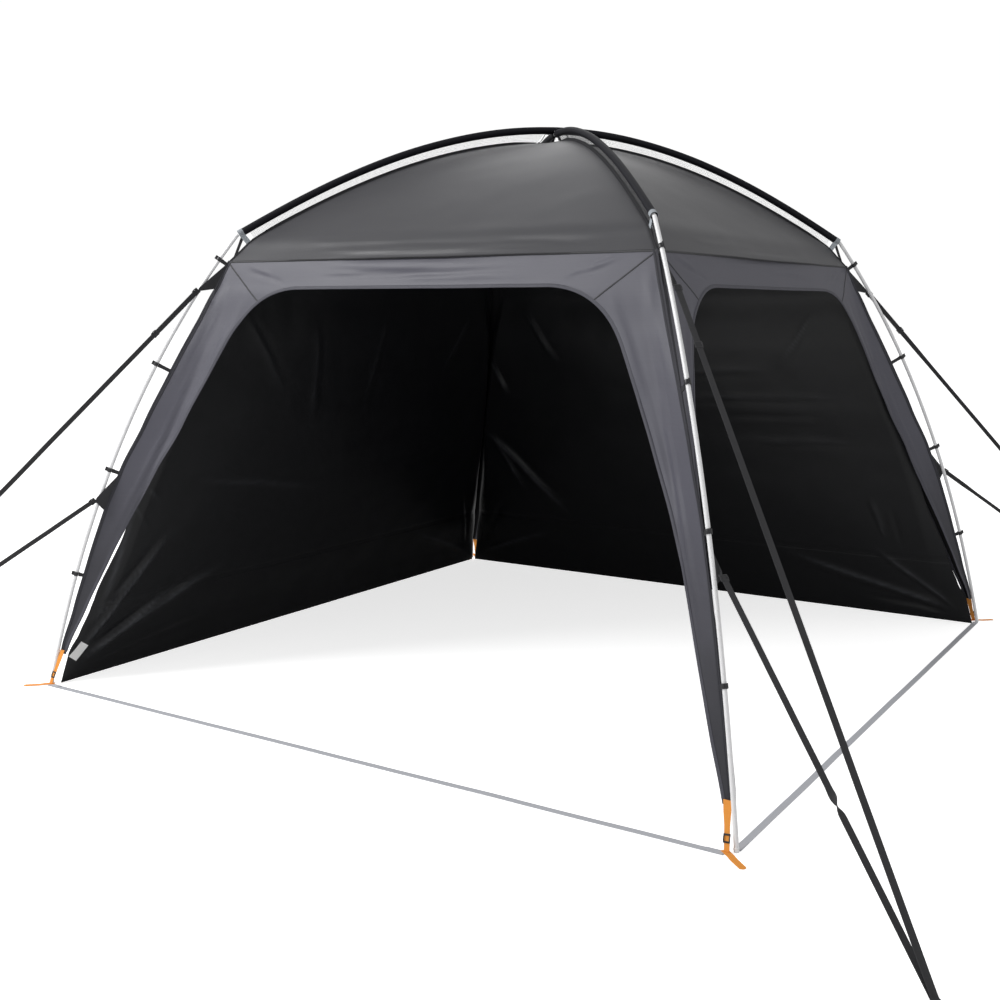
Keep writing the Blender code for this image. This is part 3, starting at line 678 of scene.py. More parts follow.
def wall_point(face, along, z, inward=0.0):
    """A point of a wall, drawn on the front face and turned later."""
    low, high = wall_ends(face, z)
    room = min(along - low, high - along, WALL_TOP_Z - z)
    lift = fold_height(WALL_FOLDS[face], along, z) + ripple(along, z, FACES.index(face) + 9, 0.004)
    lift *= ease(room / 0.10) * ease((z + 0.02) / 0.08)
    if z < WALL_SEAM_Z:
        below = WALL_SEAM_Z - z
        slack = 0.0035 * noise.noise(Vector((along * 5.5, z * 2.2, 3.3)))
        lift += slack * ease(below / 0.06) * ease(z / 0.05)
    return on_face(along, wall_out(along, z) - lift - inward, z)


# making and finishing meshes

def only(piece):
    """Makes a piece the one selected and active object."""
    bpy.ops.object.select_all(action="DESELECT")
    piece.select_set(True)
    bpy.context.view_layer.objects.active = piece


def named(piece, name):
    """Names an object and its mesh alike."""
    piece.name = name
    piece.data.name = name
    return piece


def add(name, primitive, **options):
    """Adds one of Blender's primitives, with nothing else selected."""
    bpy.ops.object.select_all(action="DESELECT")
    primitive(**options)
    return named(bpy.context.object, name)


def edited(piece, operator, **options):
    """A piece after an edit mode operator on the whole of it."""
    only(piece)
    bpy.ops.object.mode_set(mode="EDIT")
    bpy.ops.mesh.select_all(action="SELECT")
    operator(**options)
    bpy.ops.object.mode_set(mode="OBJECT")
    return piece


def deselect_mesh():
    bpy.ops.object.mode_set(mode="EDIT")
    bpy.ops.mesh.select_all(action="DESELECT")
    bpy.ops.object.mode_set(mode="OBJECT")


def lay_sheet(name, rows, metres=None):
    """A sheet laid at given rows of points, bottom row first and left to right from outside.

    metres gives each point's place on the flat cloth, for the weave; without it the rows are
    measured.
    """
    grid = {"x_subdivisions": len(rows[0]) - 1, "y_subdivisions": len(rows) - 1}
    piece = add(name, bpy.ops.mesh.primitive_grid_add, size=1.0, **grid)
    mesh = piece.data
    mesh.vertices.foreach_set("co", [value for row in rows for point in row for value in point])
    metres = metres or measured(rows)
    flat = [place for row in metres for place in row]
    layer = mesh.uv_layers.active
    layer.name = "metres"
    for loop in mesh.loops:
        layer.data[loop.index].uv = flat[loop.vertex_index]
    mesh.update()
    return piece


def measured(rows):
    """The place of each point on the flat cloth: across the middle, and up from the first row."""
    places = []
    up = 0.0
    for i, row in enumerate(rows):
        middle = len(row) // 2
        if i:
            up += (row[middle] - rows[i - 1][middle]).length
        across = [0.0]
        for a, b in zip(row, row[1:]):
            across.append(across[-1] + (b - a).length)
        places.append([(x - across[-1] / 2, up) for x in across])
    return places


def mark(piece, name, values):
    """Gives each of a piece's points a value that its material can read."""
    layer = piece.data.attributes.new(name, "FLOAT", "POINT")
    layer.data.foreach_set("value", values)
    return piece


def merge(piece):
    return edited(piece, bpy.ops.mesh.remove_doubles, threshold=MERGE_WITHIN)


def face_outwards(piece):
    return edited(piece, bpy.ops.mesh.normals_make_consistent, inside=False)


def lay_tube(name, rings):
    """A tube through rings of points, with closed ends."""
    piece = merge(lay_sheet(name, [ring + ring[:1] for ring in rings]))
    deselect_mesh()
    bpy.ops.object.mode_set(mode="EDIT")
    bpy.ops.mesh.select_non_manifold(extend=False)
    bpy.ops.mesh.edge_face_add()
    bpy.ops.object.mode_set(mode="OBJECT")
    return face_outwards(piece)


def join(pieces, name):
    """Several objects as one."""
    bpy.ops.object.select_all(action="DESELECT")
    for piece in pieces:
        piece.select_set(True)
    bpy.context.view_layer.objects.active = pieces[0]
    bpy.ops.object.join()
    return named(pieces[0], name)


def apply_modifiers(piece):
    only(piece)
    for modifier in list(piece.modifiers):
        bpy.ops.object.modifier_apply(modifier=modifier.name)
    return piece


def thicken(piece, depth, offset=-1.0):
    """Gives a sheet its thickness; offset -1 keeps the laid side outside."""
    solid = piece.modifiers.new("thickness", "SOLIDIFY")
    solid.thickness = depth
    solid.offset = offset
    return apply_modifiers(piece)


def soften(piece, width):
    """Rounds a moulded piece's edges."""
    bevel = piece.modifiers.new("edges", "BEVEL")
    bevel.width = width
    bevel.segments = 2
    bevel.limit_method = "ANGLE"
    bevel.angle_limit = math.radians(35)
    return apply_modifiers(piece)


def settle(piece, matrix):
    """Puts a piece in its place and leaves its object at the origin."""
    piece.matrix_world = matrix
    only(piece)
    bpy.ops.object.transform_apply(location=True, rotation=True, scale=True)
    return piece


def copy_of(piece, matrix):
    twin = piece.copy()
    twin.data = piece.data.copy()
    bpy.context.scene.collection.objects.link(twin)
    return settle(twin, matrix)


def discard(piece):
    bpy.data.objects.remove(piece, do_unlink=True)


def standing(origin, across, up, out):
    """A matrix with X across, Y up and Z out at a point."""
    turn = Matrix((across, up, out)).transposed().to_4x4()
    return Matrix.Translation(origin) @ turn


def finish(piece, material, nodes=(), angle=40.0):
    """Gives a piece its material, and ties it to the model."""
    piece.data.materials.clear()
    piece.data.materials.append(material)
    only(piece)
    bpy.ops.object.shade_smooth_by_angle(angle=math.radians(angle))
    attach(piece, BODY)
    if nodes:
        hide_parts(*nodes)
    return piece


def finish_lined(sheet, cloth, nodes):
    """Thickens and finishes a canopy sheet; its inner faces, coated dark, come after the laid ones."""
    laid = len(sheet.data.polygons)
    finish(thicken(sheet, sizes().cloth), cloth, nodes, angle=75)
    sheet.data.materials.append(lining())
    for polygon in sheet.data.polygons[laid:2 * laid]:
        polygon.material_index = 1


def squared(points, sides):
    """Each point of a line, with the line's heading there and the side vector squared to it."""
    last = len(points) - 1
    for i, (point, side) in enumerate(zip(points, sides)):
        heading = (points[min(last, i + 1)] - points[max(0, i - 1)]).normalized()
        yield point, heading, (side - heading * side.dot(heading)).normalized()


def swept(points, side, outlines):
    """Rings round a line, one outline of (side, up) points for each of its points."""
    rings = []
    for outline, (point, heading, across) in zip(outlines, squared(points, [side] * len(points))):
        up = heading.cross(across)
        rings.append([point + across * a + up * b for a, b in outline])
    return rings


def circle(radius, count):
    turn = 2 * math.pi / count
    return [(radius * math.cos(turn * i), radius * math.sin(turn * i)) for i in range(count)]


def lay_strap(name, points, sides, width, thickness=None):
    """A flat strap along a line of points, its width along the side vectors."""
    places = spread(-width / 2, width / 2, 4)
    rows = [[point + across * x for x in places] for point, _, across in squared(points, sides)]
    return thicken(lay_sheet(name, rows), thickness or sizes().strap, 0.0)


# shader groups

def new_group(name, inputs, outputs):
    """An empty shader node group, and the sockets that bring its inputs in and take its outputs out."""
    group = bpy.data.node_groups.new(name, "ShaderNodeTree")
    for label, kind, value in inputs:
        socket = group.interface.new_socket(label, in_out="INPUT", socket_type=kind)
        if value is not None:
            socket.default_value = value
    for label, kind in outputs:
        group.interface.new_socket(label, in_out="OUTPUT", socket_type=kind)
    return group, group.nodes.new("NodeGroupInput").outputs, group.nodes.new("NodeGroupOutput").inputs


def feed(tree, socket, value):
    """Gives a node's input its value: another node's output, a number or a colour."""
    if isinstance(value, bpy.types.NodeSocket):
        tree.links.new(value, socket)
    elif isinstance(value, (int, float)):
        socket.default_value = value
    elif value is not None:
        socket.default_value = (*value, 1.0)


def math_node(tree, operation, *values, clamp=False):
    """A Math node; its values are sockets or numbers."""
    node = tree.nodes.new("ShaderNodeMath")
    node.operation = operation
    node.use_clamp = clamp
    for socket, value in zip(node.inputs, values):
        feed(tree, socket, value)
    return node.outputs[0]


def noise_node(tree, place, scale, detail=3.0, roughness=0.5):
    node = tree.nodes.new("ShaderNodeTexNoise")
    given = {"Vector": place, "Scale": scale, "Detail": detail, "Roughness": roughness}
    for label, value in given.items():
        feed(tree, node.inputs[label], value)
    return node.outputs["Fac"]


def stretched(tree, place, scale):
    """Coordinates scaled differently along each axis."""
    node = tree.nodes.new("ShaderNodeMapping")
    node.inputs["Scale"].default_value = scale
    tree.links.new(place, node.inputs["Vector"])
    return node.outputs[0]


def split(tree, place):
    node = tree.nodes.new("ShaderNodeSeparateXYZ")
    tree.links.new(place, node.inputs[0])
    return node.outputs


def woven_cloth_group():
    """Plain weave: threads over and under each other, with a few thicker ones."""
    group, given, result = new_group(
        "woven_cloth",
        (("Metres", "NodeSocketVector", None), ("Threads", "NodeSocketFloat", 900.0)),
        (("Height", "NodeSocketFloat"), ("Slub", "NodeSocketFloat")),
    )
    parts = split(group, given["Metres"])
    turns = math_node(group, "MULTIPLY", given["Threads"], 2 * math.pi)
    warp = math_node(group, "SINE", math_node(group, "MULTIPLY", parts["X"], turns))
    weft = math_node(group, "SINE", math_node(group, "MULTIPLY", parts["Y"], turns))
    crossing = math_node(group, "MULTIPLY", warp, weft)
    thick_threads = noise_node(group, stretched(group, given["Metres"], (6.0, 260.0, 1.0)), 1.0, detail=1.0)
    group.links.new(math_node(group, "MULTIPLY_ADD", crossing, 0.5, 0.5), result["Height"])
    group.links.new(thick_threads, result["Slub"])
    return group


def cloth_tone_group():
    """Slow changes of tone, as in handled and weathered cloth, and small specks in it."""
    group, given, result = new_group(
        "cloth_tone",
        (("Place", "NodeSocketVector", None), ("Scale", "NodeSocketFloat", 2.0)),
        (("Tone", "NodeSocketFloat"), ("Speck", "NodeSocketFloat")),
    )
    slow = noise_node(group, given["Place"], given["Scale"], detail=4.0, roughness=0.55)
    speck = noise_node(group, given["Place"], 140.0, detail=2.0, roughness=0.6)
    group.links.new(slow, result["Tone"])
    group.links.new(speck, result["Speck"])
    return group


def webbing_weave_group():
    """Herringbone ribs of woven webbing, with a plain selvedge at each side."""
    group, given, result = new_group(
        "webbing_weave",
        (
            ("Metres", "NodeSocketVector", None),
            ("Ribs", "NodeSocketFloat", 700.0),
            ("Half width", "NodeSocketFloat", 0.010),
        ),
        (("Height", "NodeSocketFloat"), ("Edge", "NodeSocketFloat")),
    )
    parts = split(group, given["Metres"])
    from_middle = math_node(group, "ABSOLUTE", parts["X"])
    lean = math_node(group, "ADD", parts["Y"], from_middle)
    turns = math_node(group, "MULTIPLY", given["Ribs"], 2 * math.pi)
    ribs = math_node(group, "SINE", math_node(group, "MULTIPLY", lean, turns))
    strands = math_node(group, "SINE", math_node(group, "MULTIPLY", from_middle, turns))
    weave = math_node(group, "MULTIPLY_ADD", ribs, 0.35, 0.5)
    total = math_node(group, "MULTIPLY_ADD", strands, 0.15, weave)
    edge = math_node(group, "DIVIDE", from_middle, given["Half width"])
    edge_mask = math_node(group, "SMOOTH_MIN", edge, 1.0)
    group.links.new(total, result["Height"])
    group.links.new(math_node(group, "POWER", edge_mask, 8.0, clamp=True), result["Edge"])
    return group


def stitching_group():
    """Two rows of stitches beside a strip's middle: a mask of the thread and its height."""
    group, given, result = new_group(
        "stitching",
        (
            ("Metres", "NodeSocketVector", None),
            ("Row", "NodeSocketFloat", 0.003),
            ("Pitch", "NodeSocketFloat", 0.0035),
        ),
        (("Thread", "NodeSocketFloat"), ("Dent", "NodeSocketFloat")),
    )
    parts = split(group, given["Metres"])
    from_middle = math_node(group, "ABSOLUTE", parts["X"])
    from_row = math_node(group, "ABSOLUTE", math_node(group, "SUBTRACT", from_middle, given["Row"]))
    in_row = math_node(group, "LESS_THAN", from_row, 0.0005)
    beat = math_node(group, "FRACT", math_node(group, "DIVIDE", parts["Y"], given["Pitch"]))
    on_thread = math_node(group, "LESS_THAN", beat, 0.72)
    thread = math_node(group, "MULTIPLY", in_row, on_thread)
    dent = math_node(group, "SUBTRACT", 1.0, math_node(group, "DIVIDE", from_row, 0.0022), clamp=True)
    group.links.new(thread, result["Thread"])
    group.links.new(dent, result["Dent"])
    return group


def scuff_group():
    """Fine scratches and rubbed patches of painted tube and moulded plastic."""
    group, given, result = new_group(
        "scuffs",
        (("Place", "NodeSocketVector", None), ("Scale", "NodeSocketFloat", 40.0)),
        (("Scratch", "NodeSocketFloat"), ("Rub", "NodeSocketFloat")),
    )
    lengthwise = stretched(group, given["Place"], (9.0, 9.0, 0.6))
    lines = noise_node(group, lengthwise, given["Scale"], detail=2.0)
    rub = noise_node(group, given["Place"], 6.0, detail=3.0)
    sharp = math_node(group, "MULTIPLY", math_node(group, "SUBTRACT", lines, 0.62), 9.0, clamp=True)
    group.links.new(sharp, result["Scratch"])
    group.links.new(rub, result["Rub"])
    return group


def painted_ground_shade_group():
    """A mask of the cloth near the ground, where painted shade darkens it, with an uneven border."""
    group, given, result = new_group(
        "painted_ground_shade",
        (
            ("Place", "NodeSocketVector", None),
            ("Full below", "NodeSocketFloat", 0.40),
            ("Gone above", "NodeSocketFloat", 1.15),
        ),
        (("Ground shade", "NodeSocketFloat"),),
    )
    parts = split(group, given["Place"])
    uneven = noise_node(group, given["Place"], 5.0, detail=3.0)
    height = math_node(group, "MULTIPLY_ADD", uneven, 0.25, parts["Z"])
    span = group.nodes.new("ShaderNodeMapRange")
    span.interpolation_type = "SMOOTHSTEP"
    span.inputs["To Min"].default_value = 1.0
    span.inputs["To Max"].default_value = 0.0
    group.links.new(height, span.inputs["Value"])
    group.links.new(given["Full below"], span.inputs["From Min"])
    group.links.new(given["Gone above"], span.inputs["From Max"])
    group.links.new(span.outputs["Result"], result["Ground shade"])
    return group


def use_group(tree, name, build, **given):
    """A group's outputs in a material, its inputs given; the group itself is built once."""
    node = tree.nodes.new("ShaderNodeGroup")
    node.node_tree = bpy.data.node_groups.get(name) or build()
    for label, value in given.items():
        feed(tree, node.inputs[label.replace("_", " ")], value)
    return node.outputs


# materials

def made_once(make):
    """Has a material made at its first use, and found by its name after that."""
    def find_or_make(name, *values, **options):
        return bpy.data.materials.get(name) or make(name, *values, **options)
    return find_or_make


def new_material(name, roughness):
    material = bpy.data.materials.new(name)
    material.use_nodes = True
    shader = material.node_tree.nodes["Principled BSDF"]
    shader.inputs["Roughness"].default_value = roughness
    return material, material.node_tree, shader


def metres_of(tree):
    node = tree.nodes.new("ShaderNodeUVMap")
    node.uv_map = "metres"
    return node.outputs[0]


def place_of(tree):
    return tree.nodes.new("ShaderNodeTexCoord").outputs["Object"]


def blend_colours(tree, first, second, factor, way="MIX"):
    """A colour between two that are fixed or another node's, by a factor."""
    node = tree.nodes.new("ShaderNodeMix")
    node.data_type = "RGBA"
    node.blend_type = way
    for index, value in ((0, factor), (6, first), (7, second)):
        feed(tree, node.inputs[index], value)
    return node.outputs[2]


def shifted(colour, share):
    return tuple(min(1.0, value * share) for value in colour)


def toned(tree, colour, contrast, factor):
    """A colour that goes darker and lighter by a share of itself."""
    return blend_colours(tree, shifted(colour, 1.0 - contrast), shifted(colour, 1.0 + contrast), factor)


def add_gloss(tree, shader, factor, change, least):
    """Lets the roughness rise from its least value with a factor."""
    tree.links.new(math_node(tree, "MULTIPLY_ADD", factor, change, least), shader.inputs["Roughness"])


def add_bump(tree, shader, height, distance, strength=1.0):
    """Adds relief over any that the shader has already."""
    node = tree.nodes.new("ShaderNodeBump")
    node.inputs["Distance"].default_value = distance
    node.inputs["Strength"].default_value = strength
    tree.links.new(height, node.inputs["Height"])
    if shader.inputs["Normal"].is_linked:
        tree.links.new(shader.inputs["Normal"].links[0].from_socket, node.inputs["Normal"])
    tree.links.new(node.outputs[0], shader.inputs["Normal"])


def painted_ridge_highlights(tree, base):
    """Paints a highlight on a coated cloth along its fold ridges, in a broken line."""
    ridge_highlight_node = tree.nodes.new("ShaderNodeAttribute")
    ridge_highlight_node.attribute_name = "ridge_highlight_strength"
    broken = math_node(tree, "MULTIPLY", noise_node(tree, place_of(tree), 16.0, detail=2.0), 1.3)
    ridge_highlight_share = math_node(tree, "MULTIPLY", ridge_highlight_node.outputs["Fac"], broken, clamp=True)
    return blend_colours(tree, base, RIDGE_HIGHLIGHT_COLOUR, ridge_highlight_share)


def shade_towards_ground(tree, base):
    """Paints shade on a cloth towards the ground, darkening it to a share of its colour."""
    ground_shade_mask = use_group(tree, "painted_ground_shade", painted_ground_shade_group, Place=place_of(tree))
    tint = blend_colours(tree, (1.0,) * 3, (GROUND_SHADE_SHARE,) * 3, ground_shade_mask["Ground shade"])
    return blend_colours(tree, base, tint, 1.0, "MULTIPLY")


@made_once
def cloth_material(name, colour, roughness, contrast=0.16, threads=None, gleam=0.5, change=None):
    """Coated polyester: plain weave, slow changes of tone and gloss; change redoes its colour."""
    material, tree, shader = new_material(name, roughness)
    shader.inputs["Specular IOR Level"].default_value = gleam
    tone = use_group(tree, "cloth_tone", cloth_tone_group, Scale=1.7, Place=place_of(tree))["Tone"]
    threads = threads or sizes().threads
    weave = use_group(tree, "woven_cloth", woven_cloth_group, Threads=threads, Metres=metres_of(tree))
    half_tone = math_node(tree, "MULTIPLY", tone, 0.5)
    base = toned(tree, colour, contrast, math_node(tree, "MULTIPLY_ADD", weave["Slub"], 0.5, half_tone))
    if change:
        base = change(tree, base)
    tree.links.new(base, shader.inputs["Base Color"])
    add_gloss(tree, shader, tone, 0.10, roughness - 0.05)
    add_bump(tree, shader, weave["Height"], WEAVE_RELIEF, 0.5)
    return material


@made_once
def strip_material(name, colour, row=0.003, roughness=0.75):
    """A folded strip of cloth with two rows of stitches."""
    material, tree, shader = new_material(name, roughness)
    metres = metres_of(tree)
    sewn = use_group(tree, "stitching", stitching_group, Row=row, Metres=metres)
    weave = use_group(tree, "woven_cloth", woven_cloth_group, Metres=metres)
    base = blend_colours(tree, toned(tree, colour, 0.2, weave["Slub"]), shifted(colour, 2.1), sewn["Thread"])
    tree.links.new(base, shader.inputs["Base Color"])
    add_bump(tree, shader, weave["Height"], WEAVE_RELIEF, 0.5)
    add_bump(tree, shader, math_node(tree, "SUBTRACT", sewn["Thread"], sewn["Dent"]), 0.0004, 0.8)
    return material


@made_once
def webbing_material(name, colour, half_width, roughness=0.72):
    """Woven webbing with herringbone ribs and a rubbed edge; painted shade darkens the rib grooves."""
    material, tree, shader = new_material(name, roughness)
    weave = use_group(
        tree, "webbing_weave", webbing_weave_group, Half_width=half_width, Metres=metres_of(tree),
    )
    tone = use_group(tree, "cloth_tone", cloth_tone_group, Scale=9.0, Place=place_of(tree))["Tone"]
    half_tone = math_node(tree, "MULTIPLY", tone, 0.5)
    # painted shade in the rib grooves and painted highlight on the rib tops, mixed with slow changes of tone
    rib_shade_and_tone = math_node(tree, "MULTIPLY_ADD", weave["Height"], 0.5, half_tone)
    base = blend_colours(tree, shifted(colour, 0.66), shifted(colour, 1.3), rib_shade_and_tone)
    rubbed = math_node(tree, "MULTIPLY", weave["Edge"], 0.5)
    tree.links.new(blend_colours(tree, base, shifted(colour, 1.5), rubbed), shader.inputs["Base Color"])
    add_bump(tree, shader, weave["Height"], 0.0003, 0.8)
    return material


@made_once
def tube_material(name):
    """Pale silver powder paint over steel tube, lightly scratched along its length."""
    material, tree, shader = new_material(name, 0.34)
    shader.inputs["Coat Weight"].default_value = 0.25
    shader.inputs["Coat Roughness"].default_value = 0.25
    marks = use_group(tree, "scuffs", scuff_group, Place=place_of(tree))
    paint = colours().pole
    base = blend_colours(tree, paint, shifted(paint, 0.72), marks["Scratch"])
    tree.links.new(base, shader.inputs["Base Color"])
    add_gloss(tree, shader, marks["Rub"], 0.16, 0.26)
    add_bump(tree, shader, marks["Scratch"], 0.00006, 0.5)
    return material


@made_once
def moulded_material(name):
    """Black moulded plastic with a fine grain and rubbed high spots."""
    material, tree, shader = new_material(name, 0.42)
    marks = use_group(tree, "scuffs", scuff_group, Scale=60.0, Place=place_of(tree))
    base = blend_colours(tree, (0.012, 0.012, 0.014), (0.034, 0.034, 0.037), marks["Rub"])
    tree.links.new(base, shader.inputs["Base Color"])
    add_gloss(tree, shader, marks["Rub"], 0.2, 0.32)
    add_bump(tree, shader, noise_node(tree, place_of(tree), 1800.0, detail=1.0), 0.00008, 0.4)
    return material


@made_once
def plain_material(name, colour, roughness):
    """Cloth or thread too small to show its weave, with slow changes of tone."""
    material, tree, shader = new_material(name, roughness)
    tone = use_group(tree, "cloth_tone", cloth_tone_group, Scale=6.0, Place=place_of(tree))["Tone"]
    tree.links.new(toned(tree, colour, 0.2, tone), shader.inputs["Base Color"])
    return material


def sleeve_cloth():
    return cloth_material("sleeve_cloth", colours().sleeve, 0.66, threads=700.0, gleam=0.22)


def lining():
    return cloth_material("canopy_lining", colours().lining, 0.5, contrast=0.14, gleam=0.2)


def wall_cloth():
    # the walls get painted highlights along their fold ridges
    return cloth_material("wall_cloth", colours().wall, 0.33, 0.30, gleam=0.36, change=painted_ridge_highlights)


def sewn_strip():
    return strip_material("sewn_binding", (0.012, 0.012, 0.015), 0.0052)


def corner_strip():
    return strip_material("corner_binding", (0.032, 0.032, 0.040), 0.0052)


def tab_cloth():
    return plain_material("tab_cloth", colours().webbing, 0.75)


def dark_webbing():
    return webbing_material("dark_webbing", colours().webbing, GUY_HALF_W)


def silver_paint():
    return tube_material("silver_paint")


def black_plastic():
    return moulded_material("black_plastic")


# poles

def pole_radius(distance, length, joints):
    """A tube's radius along it: a swaged step and a thin groove at each joint."""
    radius = sizes().pole / 2
    for joint in joints:
        gap = distance - joint * length
        if abs(gap) < JOINT_GROOVE:
            return radius - 0.0007
        if 0.0 < gap < JOINT_SWAGE:
            return radius - 0.0002
    return radius


def pole_stations(length, joints):
    """Even stations along a tube, with close ones round each joint."""
    marks = set(round(s, 5) for s in spread(0.0, length, int(length / 0.030)))
    for joint in joints:
        edges = [side * JOINT_GROOVE + gap for side in (-1, 1) for gap in (-0.0001, 0.0001)]
        edges += [-0.002, JOINT_SWAGE, JOINT_SWAGE + 0.001]
        marks.update(round(joint * length + edge, 5) for edge in edges)
    return sorted(s for s in marks if 0.0 <= s <= length)


def lay_pole(node, points, k, joints):
    """A steel tube along a line of points in a corner's plane, with joints at shares of its length."""
    route = Route(points)
    marks = pole_stations(route.length, joints)
    outlines = [circle(pole_radius(s, route.length, joints), 20) for s in marks]
    rings = swept([route.at(s) for s in marks], sideways(k), outlines)
    name = "tube_" + node.replace("leg_pole_", "leg_")
    return finish(lay_tube(name, rings), silver_paint(), (node,), angle=50)


def lay_foot_cap(k):
    """The short painted plug in a leg pole's end."""
    size = {"radius": sizes().pole / 2 + 0.0008, "depth": FOOT_CAP_TALL}
    cap = add("foot_cap_" + CORNERS[k], bpy.ops.mesh.primitive_cylinder_add, vertices=24, **size)
    soften(cap, 0.0009)
    settle(cap, Matrix.Translation(quarter(k) @ in_corner(leg_at(0.01), 0.0, FOOT_CAP_Z)))
    return finish(cap, silver_paint(), angle=50)


class SHELTER_OT_poles(bpy.types.Operator):
    """Draws the arch poles and leg poles as painted steel tubes, with caps at their feet"""

    bl_idname = "shelter.poles"
    bl_label = "Poles"

    def execute(self, context):
        half = spread(0.0, 1.0, 60)
        for k, node in ((0, "arch_pole_left"), (1, "arch_pole_right")):
            marks = [-u for u in reversed(half[1:])] + half
            lay_pole(node, [on_arch(k, u) for u in marks], k, ARCH_JOINTS)
        for k, corner in enumerate(CORNERS):
            heights = stations((SHOULDER_Z, 20), (1.5, 40), 0.0024)
            line = [quarter(k) @ in_corner(leg_at(z), 0.0, z) for z in heights]
            lay_pole("leg_pole_" + corner, line, k, LEG_JOINTS)
            lay_foot_cap(k)
        return {"FINISHED"}


# sleeves and nets

def sleeve_outline(i):
    """A sleeve round its pole, pinched below into a flange with two rows of stitches."""
    loose = 1.0 + 0.035 * noise.noise(Vector((i * 0.11, 5.5, 1.0)))
    right = []
    for angle in range(90, -56, -9):
        radius = SLEEVE_R * loose + (0.0009 if angle in (54, 27) else 0.0)
        right.append((radius * math.cos(math.radians(angle)), radius * math.sin(math.radians(angle))))
    right += [(0.0040, -0.0122), (0.0019, -0.0134), (0.0024, -0.0144), (0.0018, -0.0153), (0.0022, -0.0161)]
    right += [(0.0013, -SLEEVE_DOWN)]
    return right + [(-side, up) for side, up in reversed(right[1:])]


def lay_sleeve(k):
    """The black sleeve round a half arch."""
    points = [on_arch(k, u) for u in spread(SLEEVE_START_D[k % 2] / SHOULDER_D, SLEEVE_END_U, 84)]
    rings = swept(points, sideways(k), [sleeve_outline(i) for i in range(len(points))])
    piece = merge(lay_sheet("sleeve_" + CORNERS[k], [ring + ring[:1] for ring in rings]))
    thicken(face_outwards(piece), SLEEVE_CLOTH)
    finish(piece, sleeve_cloth(), ("pole_sleeve_" + CORNERS[k],), angle=60)


def lay_crossing_cover():
    """The sleeve cloth that bridges the bare crossing, over the upper arch pole."""
    wide = SLEEVE_R - 0.0003
    arc = [(wide * math.cos(math.radians(a)), wide * math.sin(math.radians(a))) for a in range(-16, 197, 12)]
    rows = []
    for d in spread(-SLEEVE_START_D[1], SLEEVE_START_D[1], 8):
        middle = arch_point(abs(d) / SHOULDER_D, arch_lift(0))[1]
        rows.append([in_corner(d, side, middle + up) for side, up in arc])
    piece = face_outwards(thicken(lay_sheet("crossing_cover", rows), SLEEVE_CLOTH, 0.0))
    return finish(piece, sleeve_cloth(), angle=60)


def net_row(k, u, shares, shift=0.0):
    """Points down the strip between a sleeve's flange and the roof's hip."""
    turn = quarter(k)
    row = []
    for share in shares:
        at = u + shift * share
        nd, nz = arch_normal(at)
        top_d, top_z = arch_point(at, arch_lift(k))
        top_d, top_z = top_d - nd * (SLEEVE_DOWN - 0.0014), top_z - nz * (SLEEVE_DOWN - 0.0014)
        low_d, low_z = hip_point(at)
        low_d, low_z = low_d + nd * 0.0030, low_z + nz * 0.0030
        wave = 0.0011 * math.sin(math.pi * share) * noise.noise(Vector((u * 14.0, share, k * 3.7)))
        row.append(turn @ in_corner(mix(top_d, low_d, share), wave, mix(top_z, low_z, share)))
    return row


def lay_net(k):
    """The open net between a sleeve and the roof's hip, each thread modelled."""
    start, low_start = (d / SHOULDER_D for d in NET_START_D)
    length = NET_END_D - NET_START_D[0]
    count = int(length / NET_CELL)
    rows = []
    for i, u in enumerate(spread(start, NET_END_D / SHOULDER_D, count)):
        lean = (low_start - start) * (1.0 - i / count)
        rows.append(net_row(k, u, spread(0.0, 1.0, 6), lean))
    piece = lay_sheet("sleeve_net_" + CORNERS[k], rows)
    threads = piece.modifiers.new("threads", "WIREFRAME")
    threads.thickness = NET_THREAD
    threads.use_even_offset = False
    threads.use_boundary = True
    apply_modifiers(piece)
    thread = plain_material("net_thread", colours().net, 0.7)
    return finish(piece, thread, ("sleeve_web_" + CORNERS[k],), angle=30)


class SHELTER_OT_sleeves(bpy.types.Operator):
    """Draws the black pole sleeves and the open nets that hang the roof from them"""

    bl_idname = "shelter.sleeves"
    bl_label = "Sleeves"

    def execute(self, context):
        for k in range(4):
            lay_sleeve(k)
            lay_net(k)
        lay_crossing_cover()
        return {"FINISHED"}


# canopy

def lay_roof_gore(k, line):
    face = FACES[k]
    belows = stations((0.0, 18), (-0.16, 34), (-line.length + 0.10, 6), -line.length)
    shares = spread(-1.0, 1.0, 92)
    rows = [[roof_point(face, share, below, line) for share in shares] for below in belows]
    metres = [[(share * line.at(line.length + below).x, below) for share in shares] for below in belows]
    return lay_sheet("gore", turned(rows, k), metres)


class SHELTER_OT_roof(bpy.types.Operator):
    """Draws the roof as one curved sheet of four gores"""

    bl_idname = "shelter.roof"
    bl_label = "Roof"

    def execute(self, context):
        line = roof_line()
        roof = merge(join([lay_roof_gore(k, line) for k in range(4)], "canopy_roof"))
        cloth = cloth_material("roof_cloth", colours().roof, 0.46, contrast=0.14)
        finish_lined(roof, cloth, ["roof_panel_" + face for face in FACES])
        return {"FINISHED"}


def lay_eave(k):
    face = FACES[k]
    corner = seam_at(SEAM_Z) / ROOT2
    edge = [doorway_corner(t) for t in spread(0.5, 1.0, 22)]
    edge += [(along, OPENING_Z) for along in spread(OPENING_HALF_W, 0.0, 44)[1:]]
    low = [(-along, z) for along, z in edge] + [(along, z) for along, z in reversed(edge[:-1])]
    reach = abs(low[0][0])
    rows, metres = [], []
    for share in spread(1.0, 0.0, MITRE_STEPS):
        row, flat = [], []
        for along, z in low:
            x = mix(corner * along / reach, along, share)
            height = mix(SEAM_Z, z, share)
            row.append(skirt_point(face, x, height))
            flat.append((x, height))
        rows.append(row)
        metres.append(flat)
    return lay_sheet("eave", turned(rows, k), metres)


